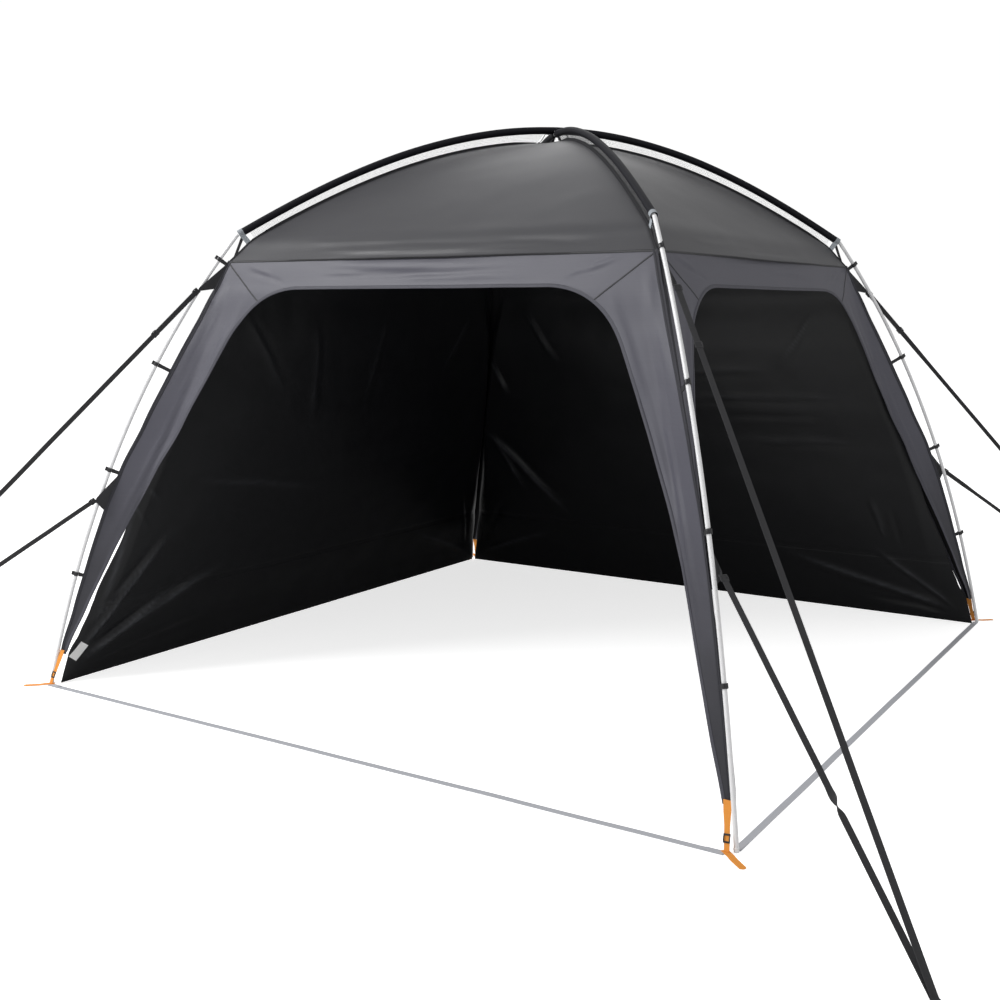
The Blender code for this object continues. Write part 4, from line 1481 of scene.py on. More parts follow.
def leg_panel_rows():
    """Each row of a leg panel's half: the seam's height, and the free edge's place and height."""
    rows = [(z, panel_edge(z), z) for z in spread(PANEL_END_Z, OPENING_TURN_Z, 92)]
    for t in spread(0.0, 1.0, 24)[1:]:
        along, z = doorway_corner(t / 2)
        rows.append((mix(OPENING_TURN_Z, SEAM_Z, t), along, z))
    return rows


def lay_leg_panel(k):
    """The cloth of a corner, from the free edge on its left face to that on its right face."""
    right_face, left_face = FACES[k], FACES[(k + 3) % 4]
    rows, metres = [], []
    for seam_z, edge, edge_z in leg_panel_rows():
        corner = seam_at(seam_z) / ROOT2
        left, right, flat_left, flat_right = [], [], [], []
        for share in spread(1.0, 0.0, MITRE_STEPS):
            along = mix(corner, edge, share)
            z = mix(seam_z, edge_z, share)
            left.append(back_a_quarter(skirt_point(left_face, along, z)))
            flat_left.append((along - corner, z))
            if share < 1.0:
                right.append(skirt_point(right_face, -along, z))
                flat_right.append((corner - along, z))
        seam = left.pop()
        flat_left.pop()
        free_edge = skirt_point(right_face, -edge, edge_z)
        rows.append(left + [seam] + list(reversed(right[:-1])) + [free_edge])
        flat_edge = (corner - edge, edge_z)
        metres.append(flat_left + [(0.0, seam_z)] + list(reversed(flat_right[:-1])) + [flat_edge])
    return lay_sheet("leg", turned(rows, k), metres)


class SHELTER_OT_skirt(bpy.types.Operator):
    """Draws the eaves and leg panels as one curved sheet round the doorways"""

    bl_idname = "shelter.skirt"
    bl_label = "Skirt"

    def execute(self, context):
        parts = [lay_eave(k) for k in range(4)] + [lay_leg_panel(k) for k in range(4)]
        skirt = merge(join(parts, "canopy_skirt"))
        nodes = ["eave_" + face for face in FACES] + ["leg_panel_" + corner for corner in CORNERS]
        # the side cloth is painted darker towards the ground, as painted shade
        cloth = cloth_material("side_cloth", colours().side, 0.52, contrast=0.12, change=shade_towards_ground)
        finish_lined(skirt, cloth, nodes)
        return {"FINISHED"}


# seams, hems and bindings

def corner_rows(k, places, offsets, point_at):
    """Rows across a corner, from its left face to its right face, at the given distances from it."""
    right_face, left_face = FACES[k], FACES[(k + 3) % 4]
    rows = []
    for place in places:
        row = []
        for offset, lift in offsets(place):
            if offset < 0:
                row.append(back_a_quarter(point_at(left_face, -offset, place, lift)))
            else:
                point = point_at(right_face, offset, place, lift)
                row.append(Vector((-point.x, point.y, point.z)))
        rows.append(row)
    return turned(rows, k)


def near_leg_seam(face, offset, z, lift):
    return skirt_point(face, seam_at(z) / ROOT2 - offset, z, lift)


def near_hip(line):
    def place(face, offset, below, lift):
        out = line.at(line.length + below).x
        return roof_point(face, 1.0 - offset / max(out, offset + 0.001), below, line, lift)
    return place


def leg_binding_offsets(z):
    """A doubled binding with a rolled ridge on the corner, narrower where the cloth is."""
    wide = min(keyed(LEG_BINDING_WIDE, z), 0.5 * panel_width(z))
    left = [(-wide * share, lift) for share, lift in LEG_BINDING]
    return left + [(-offset, lift) for offset, lift in reversed(left[:-1])]


def hip_binding_offsets(_):
    """The same binding all along the hip; its ridge is the flange that the net is sewn to."""
    return [*HIP_BINDING] + [(-offset, lift) for offset, lift in reversed(HIP_BINDING)]


def lay_leg_binding(k):
    heights = stations((PANEL_END_Z - 0.001, 90), (1.55, 14), SEAM_Z + 0.004)
    rows = corner_rows(k, heights, leg_binding_offsets, near_leg_seam)
    piece = thicken(lay_sheet("corner_binding_" + CORNERS[k], rows), 0.0007, 0.0)
    return finish(piece, corner_strip(), ("corner_tape_" + CORNERS[k],), angle=60)


def lay_hip_binding(k, line):
    """The dark hip seam: its two wings on the roof, and the flange between them."""
    belows = spread(-line.length + NET_START_D[1] * 0.78, -0.004, 60)
    rows = corner_rows(k, belows, hip_binding_offsets, near_hip(line))
    wings = thicken(lay_sheet("wings", rows), SEAM_TAPE, 0.0)
    turn = quarter(k)
    start = NET_START_D[1] / SHOULDER_D
    rows = []
    for u in spread(start, HIP_END_U, 60):
        nd, nz = arch_normal(u)
        d, z = hip_point(u)
        lean = 0.0004 * noise.noise(Vector((u * 21.0, k, 0.5)))
        ends = min(1.0, 0.35 + 9.0 * min(u - start, HIP_END_U - u))
        heights = spread(-0.0012, HIP_FLANGE * ends, 2)
        rows.append([turn @ in_corner(d + nd * up, lean, z + nz * up) for up in heights])
    flange = thicken(lay_sheet("flange", rows), 0.0019, 0.0)
    piece = join([wings, flange], "hip_binding_" + CORNERS[k])
    return finish(piece, sewn_strip(), angle=60)


def lay_roof_seam(k, line):
    """The felled seam between a roof gore and its eave."""
    face = FACES[k]
    corner = seam_at(SEAM_Z) / ROOT2
    rows = []
    for below, lift in ROOF_SEAM:
        row = []
        for share in spread(-0.996, 0.996, 92):
            if below > 0:
                row.append(skirt_point(face, share * corner, SEAM_Z - below, lift))
            else:
                row.append(roof_point(face, share, below, line, lift))
        rows.append(row)
    return thicken(lay_sheet("seam", turned(rows, k)), SEAM_TAPE, 0.0)


def lay_mitre_seam(k, side):
    """The seam from the roof's corner down to the middle of a doorway's corner curve."""
    face = FACES[k]
    along, z = doorway_corner(0.5)
    corner = seam_at(SEAM_Z) / ROOT2
    run, fall = along - corner, z - SEAM_Z
    length = math.hypot(run, fall)
    across_x, across_z = -fall / length, run / length
    rows = []
    for share in spread(0.03, 0.97, 22):
        row = []
        for shift, lift in MITRE_SEAM:
            x = mix(corner, along, share) + across_x * shift
            height = mix(SEAM_Z, z, share) + across_z * shift
            row.append(skirt_point(face, side * x, height, lift))
        rows.append(row)
    if side < 0:
        rows = [list(reversed(row)) for row in rows]
    return thicken(lay_sheet("mitre", turned(rows, k)), 0.0005, 0.0)


def doorway_line():
    """The free edge round a doorway, from its left foot over the top to its right foot."""
    left = [(-panel_edge(z), z) for z in spread(PANEL_END_Z, OPENING_TURN_Z, 70)[:-1]]
    left += [(-along, z) for along, z in (doorway_corner(t) for t in spread(0.0, 1.0, 40))]
    top = [(along, OPENING_Z) for along in spread(-OPENING_HALF_W, OPENING_HALF_W, 60)[1:-1]]
    return left + top + [(-along, z) for along, z in reversed(left)]


def lay_doorway_hem(k):
    """The doorway's folded edge, wrapped round the cloth."""
    face = FACES[k]
    line = doorway_line()
    last = len(line) - 1
    rings = []
    for i, (along, z) in enumerate(line):
        x0, z0 = line[max(0, i - 1)]
        x1, z1 = line[min(last, i + 1)]
        length = math.hypot(x1 - x0, z1 - z0)
        to_cloth_x, to_cloth_z = -(z1 - z0) / length, (x1 - x0) / length
        wide = min(HEM_WIDE, 0.36 * panel_width(z))
        rings.append([
            skirt_point(face, along + to_cloth_x * share * wide, z + to_cloth_z * share * wide, lift)
            for share, lift in HEM
        ])
    piece = lay_tube("doorway_hem_" + face, turned(rings, k))
    hem = strip_material("side_hem", shifted(colours().side, 0.72), 0.0052, 0.62)
    return finish(piece, hem, angle=60)


class SHELTER_OT_trim(bpy.types.Operator):
    """Draws the canopy's seams, hems and bindings"""

    bl_idname = "shelter.trim"
    bl_label = "Seams and hems"

    def execute(self, context):
        line = roof_line()
        felled = strip_material("felled_seam", shifted(colours().roof, 0.62), 0.0020, 0.6)
        seams = []
        for k in range(4):
            lay_leg_binding(k)
            lay_hip_binding(k, line)
            lay_doorway_hem(k)
            seams.append(lay_roof_seam(k, line))
            seams += [lay_mitre_seam(k, side) for side in (-1, 1)]
        finish(join(seams, "canopy_seams"), felled, angle=60)
        return {"FINISHED"}


# walls

def wall_heights():
    """Heights of a wall's rows, close at its hem and on both sides of its seam."""
    return stations(
        (0.0004, 3), (0.012, 20), (0.29, 3), (0.300, 2), (0.303, 4), (0.321, 2), (0.324, 84), WALL_TOP_Z,
    )


def lay_wall(k):
    """A hanging wall with its ground skirt sewn on at a seam, hemmed along the floor."""
    face = FACES[k]
    rows, metres, ridge_highlight_values = [], [], []
    for z in wall_heights():
        low, high = wall_ends(face, z)
        seam = 0.0011 * ease((0.0135 - abs(z - WALL_SEAM_Z)) / 0.004)
        hem = 0.0010 * ease((WALL_HEM - z) / 0.002)
        row, flat = [], []
        for along in spread(low, high, 220):
            edge_hem = 0.0008 * ease((WALL_HEM - min(along - low, high - along)) / 0.002)
            row.append(wall_point(face, along, z, -(seam + hem + edge_hem)))
            flat.append((along, z))
            # strength of the painted highlight along the fold ridges, which the wall's material reads
            ridge_highlight_values.append(ridge_highlight_strength(WALL_FOLDS[face], along, z))
        rows.append(row)
        metres.append(flat)
    sheet = mark(lay_sheet("hanging_wall_" + face, turned(rows, k), metres), "ridge_highlight_strength", ridge_highlight_values)
    piece = finish(thicken(sheet, sizes().cloth), wall_cloth(), ("wall_" + face,), angle=75)


def lay_label():
    """The blank white tag sewn to the left wall's front edge, inside."""
    turn = quarter(3)
    rows = []
    for t in spread(0.0, 1.0, 10):
        row = []
        for s in spread(0.0, 1.0, 8):
            along, z = between_four(LABEL_CORNERS, t, s)
            inward = sizes().cloth + 0.0012 + 0.0022 * math.sin(math.pi * t) ** 2 * s
            row.append(turn @ wall_point("left", along, z, inward))
        rows.append(row)
    piece = thicken(lay_sheet("blank_label", rows), SEAM_TAPE, 0.0)
    cloth = cloth_material("label_cloth", (0.94, 0.94, 0.93), 0.7, contrast=0.03, threads=1400.0)
    finish(piece, cloth, angle=60)


class SHELTER_OT_walls(bpy.types.Operator):
    """Draws the black walls at the back and the left, and the tag on the left one"""

    bl_idname = "shelter.walls"
    bl_label = "Walls"

    def execute(self, context):
        lay_wall(2)
        lay_wall(3)
        lay_label()
        return {"FINISHED"}


# clips, guys and straps

def lay_block(name, along, size):
    """A block of a size at a place along X."""
    block = add(name, bpy.ops.mesh.primitive_cube_add, size=1.0)
    return settle(block, Matrix.Translation((along, 0.0, 0.0)) @ Matrix.Diagonal((*size, 1.0)))


def lay_hook():
    """A moulded hook that reaches round a pole: a bent bar with a finger grip on its outer side."""
    hook = add("hook", bpy.ops.mesh.primitive_plane_add, size=1.0)
    start, half = math.radians(200), CLIP_TALL / 2
    inner, outer = HOOK_RADII
    profile = ((inner, -half), (outer, -half), (outer, half), (inner, half))
    for vertex, (radius, height) in zip((0, 1, 3, 2), profile):
        hook.data.vertices[vertex].co = (radius * math.cos(start), radius * math.sin(start), height)
    bend = {"angle": math.radians(-290), "center": (0.0, 0.0, 0.0), "axis": (0.0, 0.0, 1.0)}
    edited(hook, bpy.ops.mesh.spin, steps=20, **bend)
    face_outwards(merge(hook))
    grip = lay_block("grip", 0.0148, (0.0080, 0.0042, CLIP_TALL))
    bridge = lay_block("bridge", -0.0142, (0.0080, 0.0060, CLIP_TALL))
    return soften(join([hook, grip, bridge], "hook"), 0.0007)


def leg_slope(z):
    """How fast a leg pole's distance changes with the height."""
    step = 0.01
    return (leg_at(z + step) - leg_at(z - step)) / (2 * step)


def clip_root(z):
    """Where a clip's strap leaves the corner seam: square to the pole, so lower than the clip."""
    low = z
    for _ in range(12):
        low = z + leg_slope(z) * (leg_at(z) - seam_at(low))
    return Vector((seam_at(low), low))


def leg_frame(k, z):
    """A matrix on a leg pole: X outwards, Z up along the pole."""
    turn = quarter(k)
    up = (turn @ in_corner(leg_slope(z), 0.0, 1.0)).normalized()
    out = sideways(k).cross(up)
    return standing(turn @ in_corner(leg_at(z), 0.0, z), out, up.cross(out), up)


def lay_clips(k, hook):
    """A corner's four hooks in one piece, and their straps to the corner seam in another."""
    turn = quarter(k)
    hooks, straps = [], []
    for z in CLIP_HEIGHTS:
        hooks.append(copy_of(hook, leg_frame(k, z)))
        root, pole = clip_root(z), Vector((leg_at(z), z))
        outward = (pole - root).normalized()
        start, end = root + outward * 0.002, pole - outward * 0.0130
        up = turn @ in_corner(leg_slope(z), 0.0, 1.0).normalized()
        places = [start.lerp(end, t) for t in spread(0.0, 1.0, 8)]
        points = [turn @ in_corner(place.x, 0.0, place.y) for place in places]
        straps.append(lay_strap("strap", points, [up] * len(points), *CLIP_STRAP))
    finish(join(hooks, "pole_clips_" + CORNERS[k]), black_plastic(), angle=40)
    return straps


def lay_guy_tab(k, heights, start):
    """A folded triangle of webbing from the corner seam to a guy's buckle."""
    turn = quarter(k)
    root_high, root_low = (in_corner(seam_at(z) + 0.0012, 0.006, z) for z in heights)
    tip = in_corner(start[0], GUY_SIDE, start[1])
    across = (root_high - root_low).normalized() * TAB_TIP_HALF_W
    rows = []
    for t in spread(0.0, 1.0, 12):
        left = root_low.lerp(tip - across, t ** 0.85)
        right = root_high.lerp(tip + across, t ** 0.85)
        rows.append([turn @ left.lerp(right, s) for s in spread(0.0, 1.0, 8)])
    return thicken(lay_sheet("tab", rows), DOUBLE_WEBBING, 0.0)


def lay_ladder_lock(name, width, tall):
    """A ladder lock: a frame with two slots and a raised bar, standing in its own XY plane."""
    lock = add(name, bpy.ops.mesh.primitive_grid_add, x_subdivisions=3, y_subdivisions=5, size=1.0)
    columns = (-width / 2, -width / 2 + LOCK_RIM, width / 2 - LOCK_RIM, width / 2)
    levels = [tall * share for share in (-0.5, -0.30, -0.11, 0.11, 0.30, 0.5)]
    for vertex in lock.data.vertices:
        column, level = vertex.index % 4, vertex.index // 4
        vertex.co = (columns[column], levels[level], LOCK_BAR_RISE if level in (2, 3) else 0.0)
    deselect_mesh()
    for slot in (4, 10):
        lock.data.polygons[slot].select = True
    bpy.ops.object.mode_set(mode="EDIT")
    bpy.ops.mesh.select_mode(type="FACE")
    bpy.ops.mesh.delete(type="FACE")
    bpy.ops.mesh.select_mode(type="VERT")
    bpy.ops.object.mode_set(mode="OBJECT")
    return soften(thicken(lock, 0.0034, 0.0), 0.0009)


def guy_ends(k, start, floor_z):
    """The top of a guy strap, where it lands, and its heading over the ground."""
    top = quarter(k) @ in_corner(start[0], GUY_SIDE, start[1])
    if k == 1:
        extreme = (GUY_GROUND_D + GUY_TAIL + GUY_SIDE + GUY_HALF_W) / ROOT2
        end = Vector((extreme - GUY_HALF_W / ROOT2, FRONT_RIGHT_PEG_Y - GUY_TAIL / ROOT2, 0.0))
    else:
        end = quarter(k) @ in_corner(GUY_GROUND_D + GUY_TAIL, GUY_SIDE, 0.0)
    flat = Vector((end.x - top.x, end.y - top.y, 0.0)).normalized()
    land = end - flat * GUY_TAIL
    land.z = floor_z + WEBBING / 2
    return top, land, flat


class GuyLine:
    """A guy strap's straight line down to the ground, with its directions along, across and up."""

    def __init__(self, k, level, start, floor_z):
        self.twists = GUY_TWISTS.get((level, k), ())
        self.top, self.land, self.flat = guy_ends(k, start, floor_z)
        self.side = Vector((-self.flat.y, self.flat.x, 0.0))
        self.slope = (self.land - self.top).normalized()
        self.length = (self.land - self.top).length
        up = self.side.cross(self.slope)
        self.up = up if up.z > 0 else -up

    def turn(self, share):
        """How far the strap has turned about its own line at a share of its length."""
        turns = (math.radians(angle) * ease((share - at) / TWIST_SHARE + 0.5) for at, angle in self.twists)
        return Matrix.Rotation(sum(turns), 3, self.slope)


def lay_guy_run(line, k, level, floor_z):
    """The strap itself, from its buckle down to the ground and a little along it."""
    points, sides = [], []
    near_ground = line.length - 0.02
    for distance in spread(0.004, near_ground, 110) + spread(near_ground, line.length, 5)[1:]:
        share = distance / line.length
        uneven = noise.noise(Vector((share * 9.0, k * 2.2, floor_z * 900)))
        slack = 0.0011 * uneven * math.sin(math.pi * share)
        points.append(line.top + line.slope * distance + line.up * slack)
        sides.append(line.turn(share) @ line.side)
    flip = -1.0 if (level, k) == ("lower", 1) else 1.0
    for reach in (0.012, 0.024, 0.036, GUY_TAIL):
        points.append(line.land + line.flat * reach)
        sides.append(line.side * flip)
    return lay_strap("run", points, sides, 2 * GUY_HALF_W)


def lay_guy_tail(line, rise):
    """The end of a guy strap folded back over itself on the ground."""
    points = [line.land + line.flat * reach for reach in (0.010, 0.022, 0.036, GUY_TAIL - 0.001)]
    for point in points:
        point.z += rise
    return lay_strap("tail", points, [line.side] * 4, 2 * GUY_HALF_W - 0.001, 0.0010)


def lay_guy(k, level, start, floor_z):
    """A guy strap from its tab's buckle to the ground, the upper one doubled down to its adjuster."""
    line = GuyLine(k, level, start, floor_z)
    pieces = [lay_guy_run(line, k, level, floor_z)]
    side, up = line.turn(0.0) @ line.side, line.turn(0.0) @ line.up
    lock_marks = [LOCK_FROM_TOP]
    tail_rise = sizes().strap * 0.85
    if level == "upper":
        lock_marks.append(ADJUSTER_AT + 0.012)
        aside = up * (sizes().strap + 0.0008)
        doubled = [line.top + line.slope * d - aside for d in spread(0.006, ADJUSTER_AT + 0.020, 24)]
        pieces.append(lay_strap("doubled", doubled, [side] * len(doubled), 2 * GUY_HALF_W - 0.0006))
    else:
        tail_rise -= 0.0004
    pieces.append(lay_guy_tail(line, tail_rise))
    name = "_".join((level, CORNERS[k]))
    strap = join(pieces, "guy_" + name)
    finish(strap, dark_webbing(), ("guy_strap_" + name,), angle=50)
    return [standing(line.top + line.slope * mark, side, line.slope, up) for mark in lock_marks]


def lay_corner_fittings(k, hook, lock):
    """A corner's clips, guy tabs, guys and their buckles."""
    fabric = lay_clips(k, hook)
    fabric.append(lay_guy_tab(k, UPPER_TAB_Z, UPPER_GUY))
    fabric.append(lay_guy_tab(k, LOWER_TAB_Z, LOWER_GUY))
    tabs = join(fabric, "corner_tabs_" + CORNERS[k])
    finish(tabs, tab_cloth(), angle=45)
    places = lay_guy(k, "lower", LOWER_GUY, 0.0)
    places += lay_guy(k, "upper", UPPER_GUY, WEBBING + 4 * FIT_GAP)
    locks = join([copy_of(lock, place) for place in places], "guy_buckles_" + CORNERS[k])
    finish(locks, black_plastic(), angle=40)


class SHELTER_OT_guys(bpy.types.Operator):
    """Draws the pole clips, the guy tabs, the guy straps and their buckles"""

    bl_idname = "shelter.guys"
    bl_label = "Clips and guys"

    def execute(self, context):
        hook = lay_hook()
        lock = lay_ladder_lock("guy_lock", 0.027, 0.025)
        for k in range(4):
            lay_corner_fittings(k, hook, lock)
        discard(hook)
        discard(lock)
        return {"FINISHED"}


def at_foot(k, place, z):
    """A place by a foot, from its distances along and across the front face."""
    right = -1 if k in (0, 3) else 1
    back = -1 if k in (0, 1) else 1
    return Vector((right * place[0], back * place[1], z))


def lay_peg_tab(k):
    """The loose end of a foot strap, flat on the ground with a round tip."""
    start = at_foot(k, (STRAP_FOOT[0] - 0.012, STRAP_FOOT[1] - 0.010), 0.0)
    end = at_foot(k, FOOT_TAB_END, 0.0)
    outward = (end - start).normalized()
    across = Vector((-outward.y, outward.x, 0.0))
    rows = []
    for t in spread(0.0, 1.0, 30):
        from_end = (end - start).length * (1.0 - t)
        half = FOOT_TAB_W / 2
        if from_end < half:
            half = math.sqrt(max(0.0, half ** 2 - (half - from_end) ** 2)) + 0.0004
        place = start.lerp(end, t)
        place.z = sizes().strap / 2 + 0.0026 * ease((from_end - 0.055) / 0.030)
        rows.append([place + across * x for x in spread(-half, half, 6)])
    return thicken(lay_sheet("tab", rows), sizes().strap, 0.0)


def lay_foot_strap(k, lock):
    """The orange strap from a leg panel's end to its foot, its peg tab, and its buckle."""
    back = -1 if k in (0, 1) else 1
    top_along = seam_at(PANEL_END_Z) / ROOT2 - 0.014
    top_out = face_out(top_along, PANEL_END_Z) + 0.0016
    top = at_foot(k, (top_along, top_out), PANEL_END_Z + 0.016)
    foot = at_foot(k, STRAP_FOOT, 0.0048)
    rows = []
    for t in spread(0.0, 1.0, 26):
        point = top.lerp(foot, t)
        point.y -= back * 0.0010 * math.sin(math.pi * t)
        half = keyed(FOOT_STRAP_HALF_W, t)
        rows.append([point + Vector((x, 0.0, 0.0)) for x in spread(-half, half, 4)])
    if back < 0:
        rows.reverse()
    riser = thicken(lay_sheet("riser", rows), sizes().strap, 0.0)
    piece = join([riser, lay_peg_tab(k)], "orange_strap_" + CORNERS[k])
    webbing = webbing_material("orange_webbing", colours().orange_webbing, FOOT_TAB_W / 2, 0.6)
    finish(piece, webbing, ("foot_strap_" + CORNERS[k],), angle=50)
    up = (top - foot).normalized()
    lock_at = top.lerp(foot, FOOT_LOCK_SHARE) + Vector((0.0, back * 0.0012, 0.0))
    across = Vector((-back, 0.0, 0.0))
    buckle = copy_of(lock, standing(lock_at, across, up, across.cross(up)))
    buckle.name = "foot_lock_" + CORNERS[k]
    finish(buckle, black_plastic(), angle=40)


def lay_ground_strap(k):
    """The pale strap along the ground under an open side, a little wavy, with sewn loops."""
    turn = quarter(k)
    line = []
    out_at, end = GROUND_STRAP_OUT[k], GROUND_STRAP_END[k]
    for along in spread(-end, end, 120):
        free = 1.0 - (along / end) ** 4
        wave = 0.0024 * noise.noise(Vector((along * 2.1, k * 4.4, 0.3))) * free
        lift = 0.0016 * max(0.0, noise.noise(Vector((along * 3.7, k * 2.0, 6.0)))) * free
        line.append(turn @ on_face(along, out_at + wave, sizes().strap / 2 + lift))
    out = turn @ on_face(0.0, -1.0, 0.0)
    pieces = [lay_strap("strap", line, [out] * len(line), GROUND_STRAP_W - 0.001)]
    lift = sizes().strap * 1.5 + 0.0002
    for side in (-1, 1):
        alongs = spread(end - 0.060, end - 0.001, 8)
        points = [turn @ on_face(side * along, out_at, lift) for along in alongs]
        pieces.append(lay_strap("loop", points, [out] * len(points), GROUND_STRAP_W - 0.002, 0.0013))
    piece = join(pieces, "floor_strap_" + FACES[k])
    webbing = webbing_material("pale_webbing", colours().pale_webbing, GROUND_STRAP_W / 2, 0.7)
    return finish(piece, webbing, ("ground_strap_" + FACES[k],), angle=50)


class SHELTER_OT_feet(bpy.types.Operator):
    """Draws the orange foot straps with their buckles and the pale straps along the ground"""

    bl_idname = "shelter.feet"
    bl_label = "Foot and ground straps"

    def execute(self, context):
        lock = lay_ladder_lock("foot_lock", 0.021, 0.026)
        for k in range(4):
            lay_foot_strap(k, lock)
        discard(lock)
        lay_ground_strap(0)
        lay_ground_strap(1)
        return {"FINISHED"}


# apex and shoulders

def lay_apex_patch():
    """The round patch on the roof's apex."""
    line = roof_line()
    rows = []
    for radius in reversed(APEX_PATCH_RADII):
        lift = 0.0022 if radius < APEX_PATCH_RADII[-1] else 0.0010
        row = []
        for i in range(49):
            angle = -2 * math.pi * i / 48
            x, y = math.cos(angle), math.sin(angle)
            near, far = sorted((abs(x), abs(y)))
            point = roof_point("front", near / far, -line.length + down_at(line, radius * far), line)
            row.append(Vector((radius * x, radius * y, point.z + lift)))
        rows.append(row)
    patch = merge(lay_sheet("patch", rows))
    deselect_mesh()
    for vertex in patch.data.vertices:
        vertex.select = math.hypot(vertex.co.x, vertex.co.y) < 0.006
    bpy.ops.object.mode_set(mode="EDIT")
    bpy.ops.mesh.edge_face_add()
    bpy.ops.object.mode_set(mode="OBJECT")
    return thicken(face_outwards(patch), 0.0014)


def lay_apex_tie(k):
    """A tie from the apex patch up to a sleeve's flange."""
    turn = quarter(k)
    middle = hip_point(0.0)[1]
    d, z = arch_point(0.030, arch_lift(k))
    route = rounded([
        Vector((0.076, middle + 0.0016)),
        Vector((0.068, middle + 0.0034)),
        Vector((0.054, mix(middle, z, 0.42))),
        Vector((d + 0.006, z - SLEEVE_DOWN - 0.0006)),
        Vector((d - 0.010, z - SLEEVE_DOWN - 0.0012)),
    ], 6)
    points = [turn @ in_corner(p.x, 0.0, p.y) for p in route]
    return lay_strap("tie", points, [sideways(k)] * len(points), 0.012, 0.0016)


def down_at(line, out):
    """The distance down the roof's middle line at which it is a given distance out."""
    low, high = 0.0, line.length
    for _ in range(24):
        middle = (low + high) / 2
        if line.at(middle).x < out:
            low = middle
        else:
            high = middle
    return low


def shoulder_outline():
    """Half of a shoulder band round its sleeve: from over the pole, round it, and down to the roof."""
    arc = [math.radians(angle) for angle in range(90, -61, -15)]
    outline = [(SHOULDER_BAND_R * math.cos(angle), SHOULDER_BAND_R * math.sin(angle)) for angle in arc]
    return outline + [(0.0034, -0.0170), (0.0026, -0.0260), (0.0024, -0.0380), (0.0024, -0.0500)]


def lay_shoulder_band(k):
    """A grey band from the sleeve's end down to the roof."""
    right = shoulder_outline()
    outline = [(-x, y) for x, y in reversed(right)] + right[1:]
    rows = []
    for share in spread(0.0, 1.0, 5):
        edge = mix(*SHOULDER_BAND_U, share)
        rows.append([on_arch(k, edge + 0.10 * min(0.0, y + 0.012), x, y) for x, y in outline])
    band = thicken(lay_sheet("band", rows), 0.0009, 0.0)
    grey = webbing_material("grey_webbing", colours().grey_webbing, 0.03, 0.7)
    return finish(named(band, "shoulder_band_" + CORNERS[k]), grey, angle=50)


def lay_shoulder_gusset(k):
    """The black strip outside a shoulder band, from the sleeve's end down to the roof's corner."""
    turn = quarter(k)
    d, z = arch_point(0.9965, arch_lift(k))
    nd, nz = arch_normal(0.9965)
    top = Vector((d - nd * 0.0145, z - nz * 0.0145))
    low = Vector((seam_at(SEAM_Z) - 0.020, SEAM_Z + 0.018))
    corners = (top, top + Vector((-0.014, 0.002)), low, low + Vector((-0.015, 0.010)))
    rows = []
    for t in spread(0.0, 1.0, 10):
        bulge = 0.0010 * math.sin(math.pi * t)
        places = [between_four(corners, t, s) for s in spread(0.0, 1.0, 5)]
        rows.append([turn @ in_corner(place.x, bulge, place.y) for place in places])
    gusset = thicken(lay_sheet("shoulder_gusset_" + CORNERS[k], rows), 0.0018, 0.0)
    return finish(gusset, tab_cloth(), angle=50)


class SHELTER_OT_fittings(bpy.types.Operator):
    """Draws the apex patch with its ties, and the bands at the shoulders"""

    bl_idname = "shelter.fittings"
    bl_label = "Apex and shoulders"

    def execute(self, context):
        pieces = [lay_apex_patch()] + [lay_apex_tie(k) for k in range(4)]
        finish(join(pieces, "apex_patch"), tab_cloth(), ("apex_tie",), angle=50)
        for k in range(4):
            lay_shoulder_band(k)
            lay_shoulder_gusset(k)
        return {"FINISHED"}


# stage

class SHELTER_OT_stage(bpy.types.Operator):
    """Sets up the pale floor, the studio light and the camera"""

    bl_idname = "shelter.stage"
    bl_label = "Stage"

    def execute(self, context):
        lay_floor()
        light_studio()
        place_camera()
        return {"FINISHED"}


def lay_floor():
    floor = add("floor", bpy.ops.mesh.primitive_plane_add, size=120.0, location=(0.0, 0.0, -0.0006))
    material, tree, shader = new_material("studio_floor", 0.7)
    grain = noise_node(tree, place_of(tree), 3.0)
    base = blend_colours(tree, (0.86, 0.86, 0.86), (0.90, 0.90, 0.90), grain)
    tree.links.new(base, shader.inputs["Base Color"])
    shader.inputs["Emission Color"].default_value = (1.0, 1.0, 1.0, 1.0)
    seen = tree.nodes.new("ShaderNodeLightPath").outputs["Is Camera Ray"]
    tree.links.new(math_node(tree, "MULTIPLY", seen, FLOOR_GLOW), shader.inputs["Emission Strength"])
    floor.data.materials.append(material)
    floor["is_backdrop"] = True


def light_studio():
    world = bpy.data.worlds.new("studio")
    world.use_nodes = True
    bpy.context.scene.world = world
    background = world.node_tree.nodes["Background"]
    background.inputs["Color"].default_value = (1.0, 1.0, 1.0, 1.0)
    seen = world.node_tree.nodes.new("ShaderNodeLightPath").outputs["Is Camera Ray"]
    strength = math_node(world.node_tree, "MULTIPLY_ADD", seen, BACKDROP - WORLD_LIGHT, WORLD_LIGHT)
    world.node_tree.links.new(strength, background.inputs["Strength"])
    add_softbox("key", (-4.2, -5.0, 5.6), (-0.6, -1.0, 1.6), 2.6, 330.0)
    add_softbox("sky", (-3.0, 5.0, 6.5), (0.0, 0.0, 1.8), 5.0, 90.0)
    bpy.context.scene.view_settings.view_transform = "Standard"


def add_softbox(name, place, aim, size, power):
    bpy.ops.object.light_add(type="AREA", location=place)
    lamp = bpy.context.object
    lamp.name = "softbox_" + name
    lamp.data.shape = "DISK"
    lamp.data.size = size
    lamp.data.energy = power
    lamp.rotation_euler = (Vector(aim) - Vector(place)).to_track_quat("-Z", "Y").to_euler()


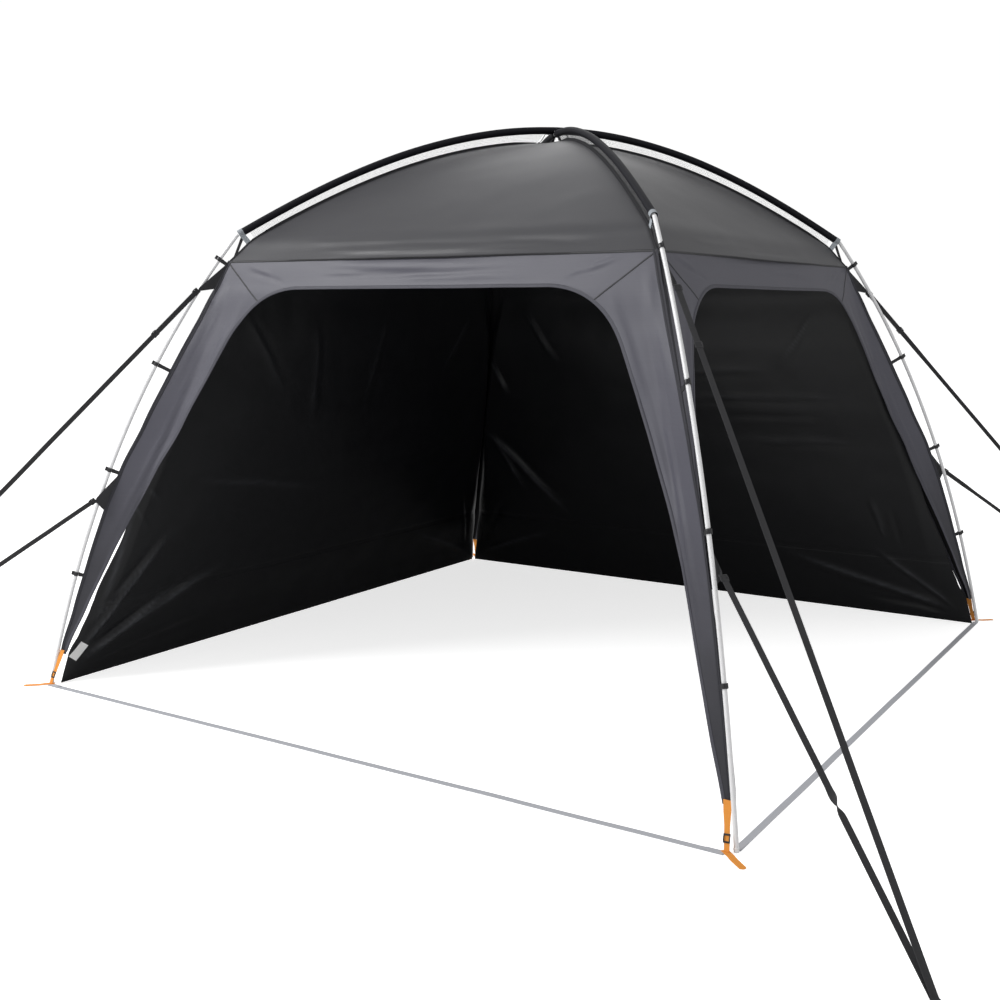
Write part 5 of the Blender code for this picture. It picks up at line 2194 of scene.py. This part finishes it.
def place_camera():
    """The photograph's own view."""
    azimuth, down = math.radians(CAMERA_AZIMUTH), math.radians(CAMERA_DOWN)
    back = Vector((
        math.sin(azimuth) * math.cos(down), -math.cos(azimuth) * math.cos(down), math.sin(down),
    ))
    bpy.ops.object.camera_add(location=CAMERA_AT)
    camera = bpy.context.object
    camera.rotation_euler = (-back).to_track_quat("-Z", "Y").to_euler()
    camera.data.lens = CAMERA_LENS
    camera.data.sensor_width = 36.0
    camera.data.shift_x, camera.data.shift_y = CAMERA_SHIFT
    bpy.context.scene.camera = camera


# the add-on

OPERATORS = (
    SHELTER_OT_poles,
    SHELTER_OT_sleeves,
    SHELTER_OT_roof,
    SHELTER_OT_skirt,
    SHELTER_OT_trim,
    SHELTER_OT_walls,
    SHELTER_OT_guys,
    SHELTER_OT_feet,
    SHELTER_OT_fittings,
    SHELTER_OT_stage,
)


class SHELTER_PT_panel(bpy.types.Panel):
    """Lists the shelter's pieces, its sizes and its colours"""

    bl_label = "Shelter"
    bl_idname = "SHELTER_PT_panel"
    bl_space_type = "VIEW_3D"
    bl_region_type = "UI"
    bl_category = "Shelter"

    def draw(self, context):
        layout = self.layout
        for group in (context.scene.shelter_sizes, context.scene.shelter_colours):
            box = layout.box()
            for name in group.__annotations__:
                box.prop(group, name)
        for operator in OPERATORS:
            layout.operator(operator.bl_idname)


CLASSES = (ShelterSizes, ShelterColours, *OPERATORS, SHELTER_PT_panel)


def register():
    for cls in CLASSES:
        bpy.utils.register_class(cls)
    bpy.types.Scene.shelter_sizes = PointerProperty(type=ShelterSizes)
    bpy.types.Scene.shelter_colours = PointerProperty(type=ShelterColours)


def unregister():
    del bpy.types.Scene.shelter_colours
    del bpy.types.Scene.shelter_sizes
    for cls in reversed(CLASSES):
        bpy.utils.unregister_class(cls)


def write_sizes():
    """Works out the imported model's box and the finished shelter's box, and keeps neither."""
    boxes = {"cad": cad_box, "visual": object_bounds()}
    {name: [list(low), list(high)] for name, (low, high) in boxes.items()}


def main():
    register()
    for operator in OPERATORS:
        family, name = operator.bl_idname.split(".")
        getattr(getattr(bpy.ops, family), name)()
    write_sizes()


if __name__ == "__main__":
    main()
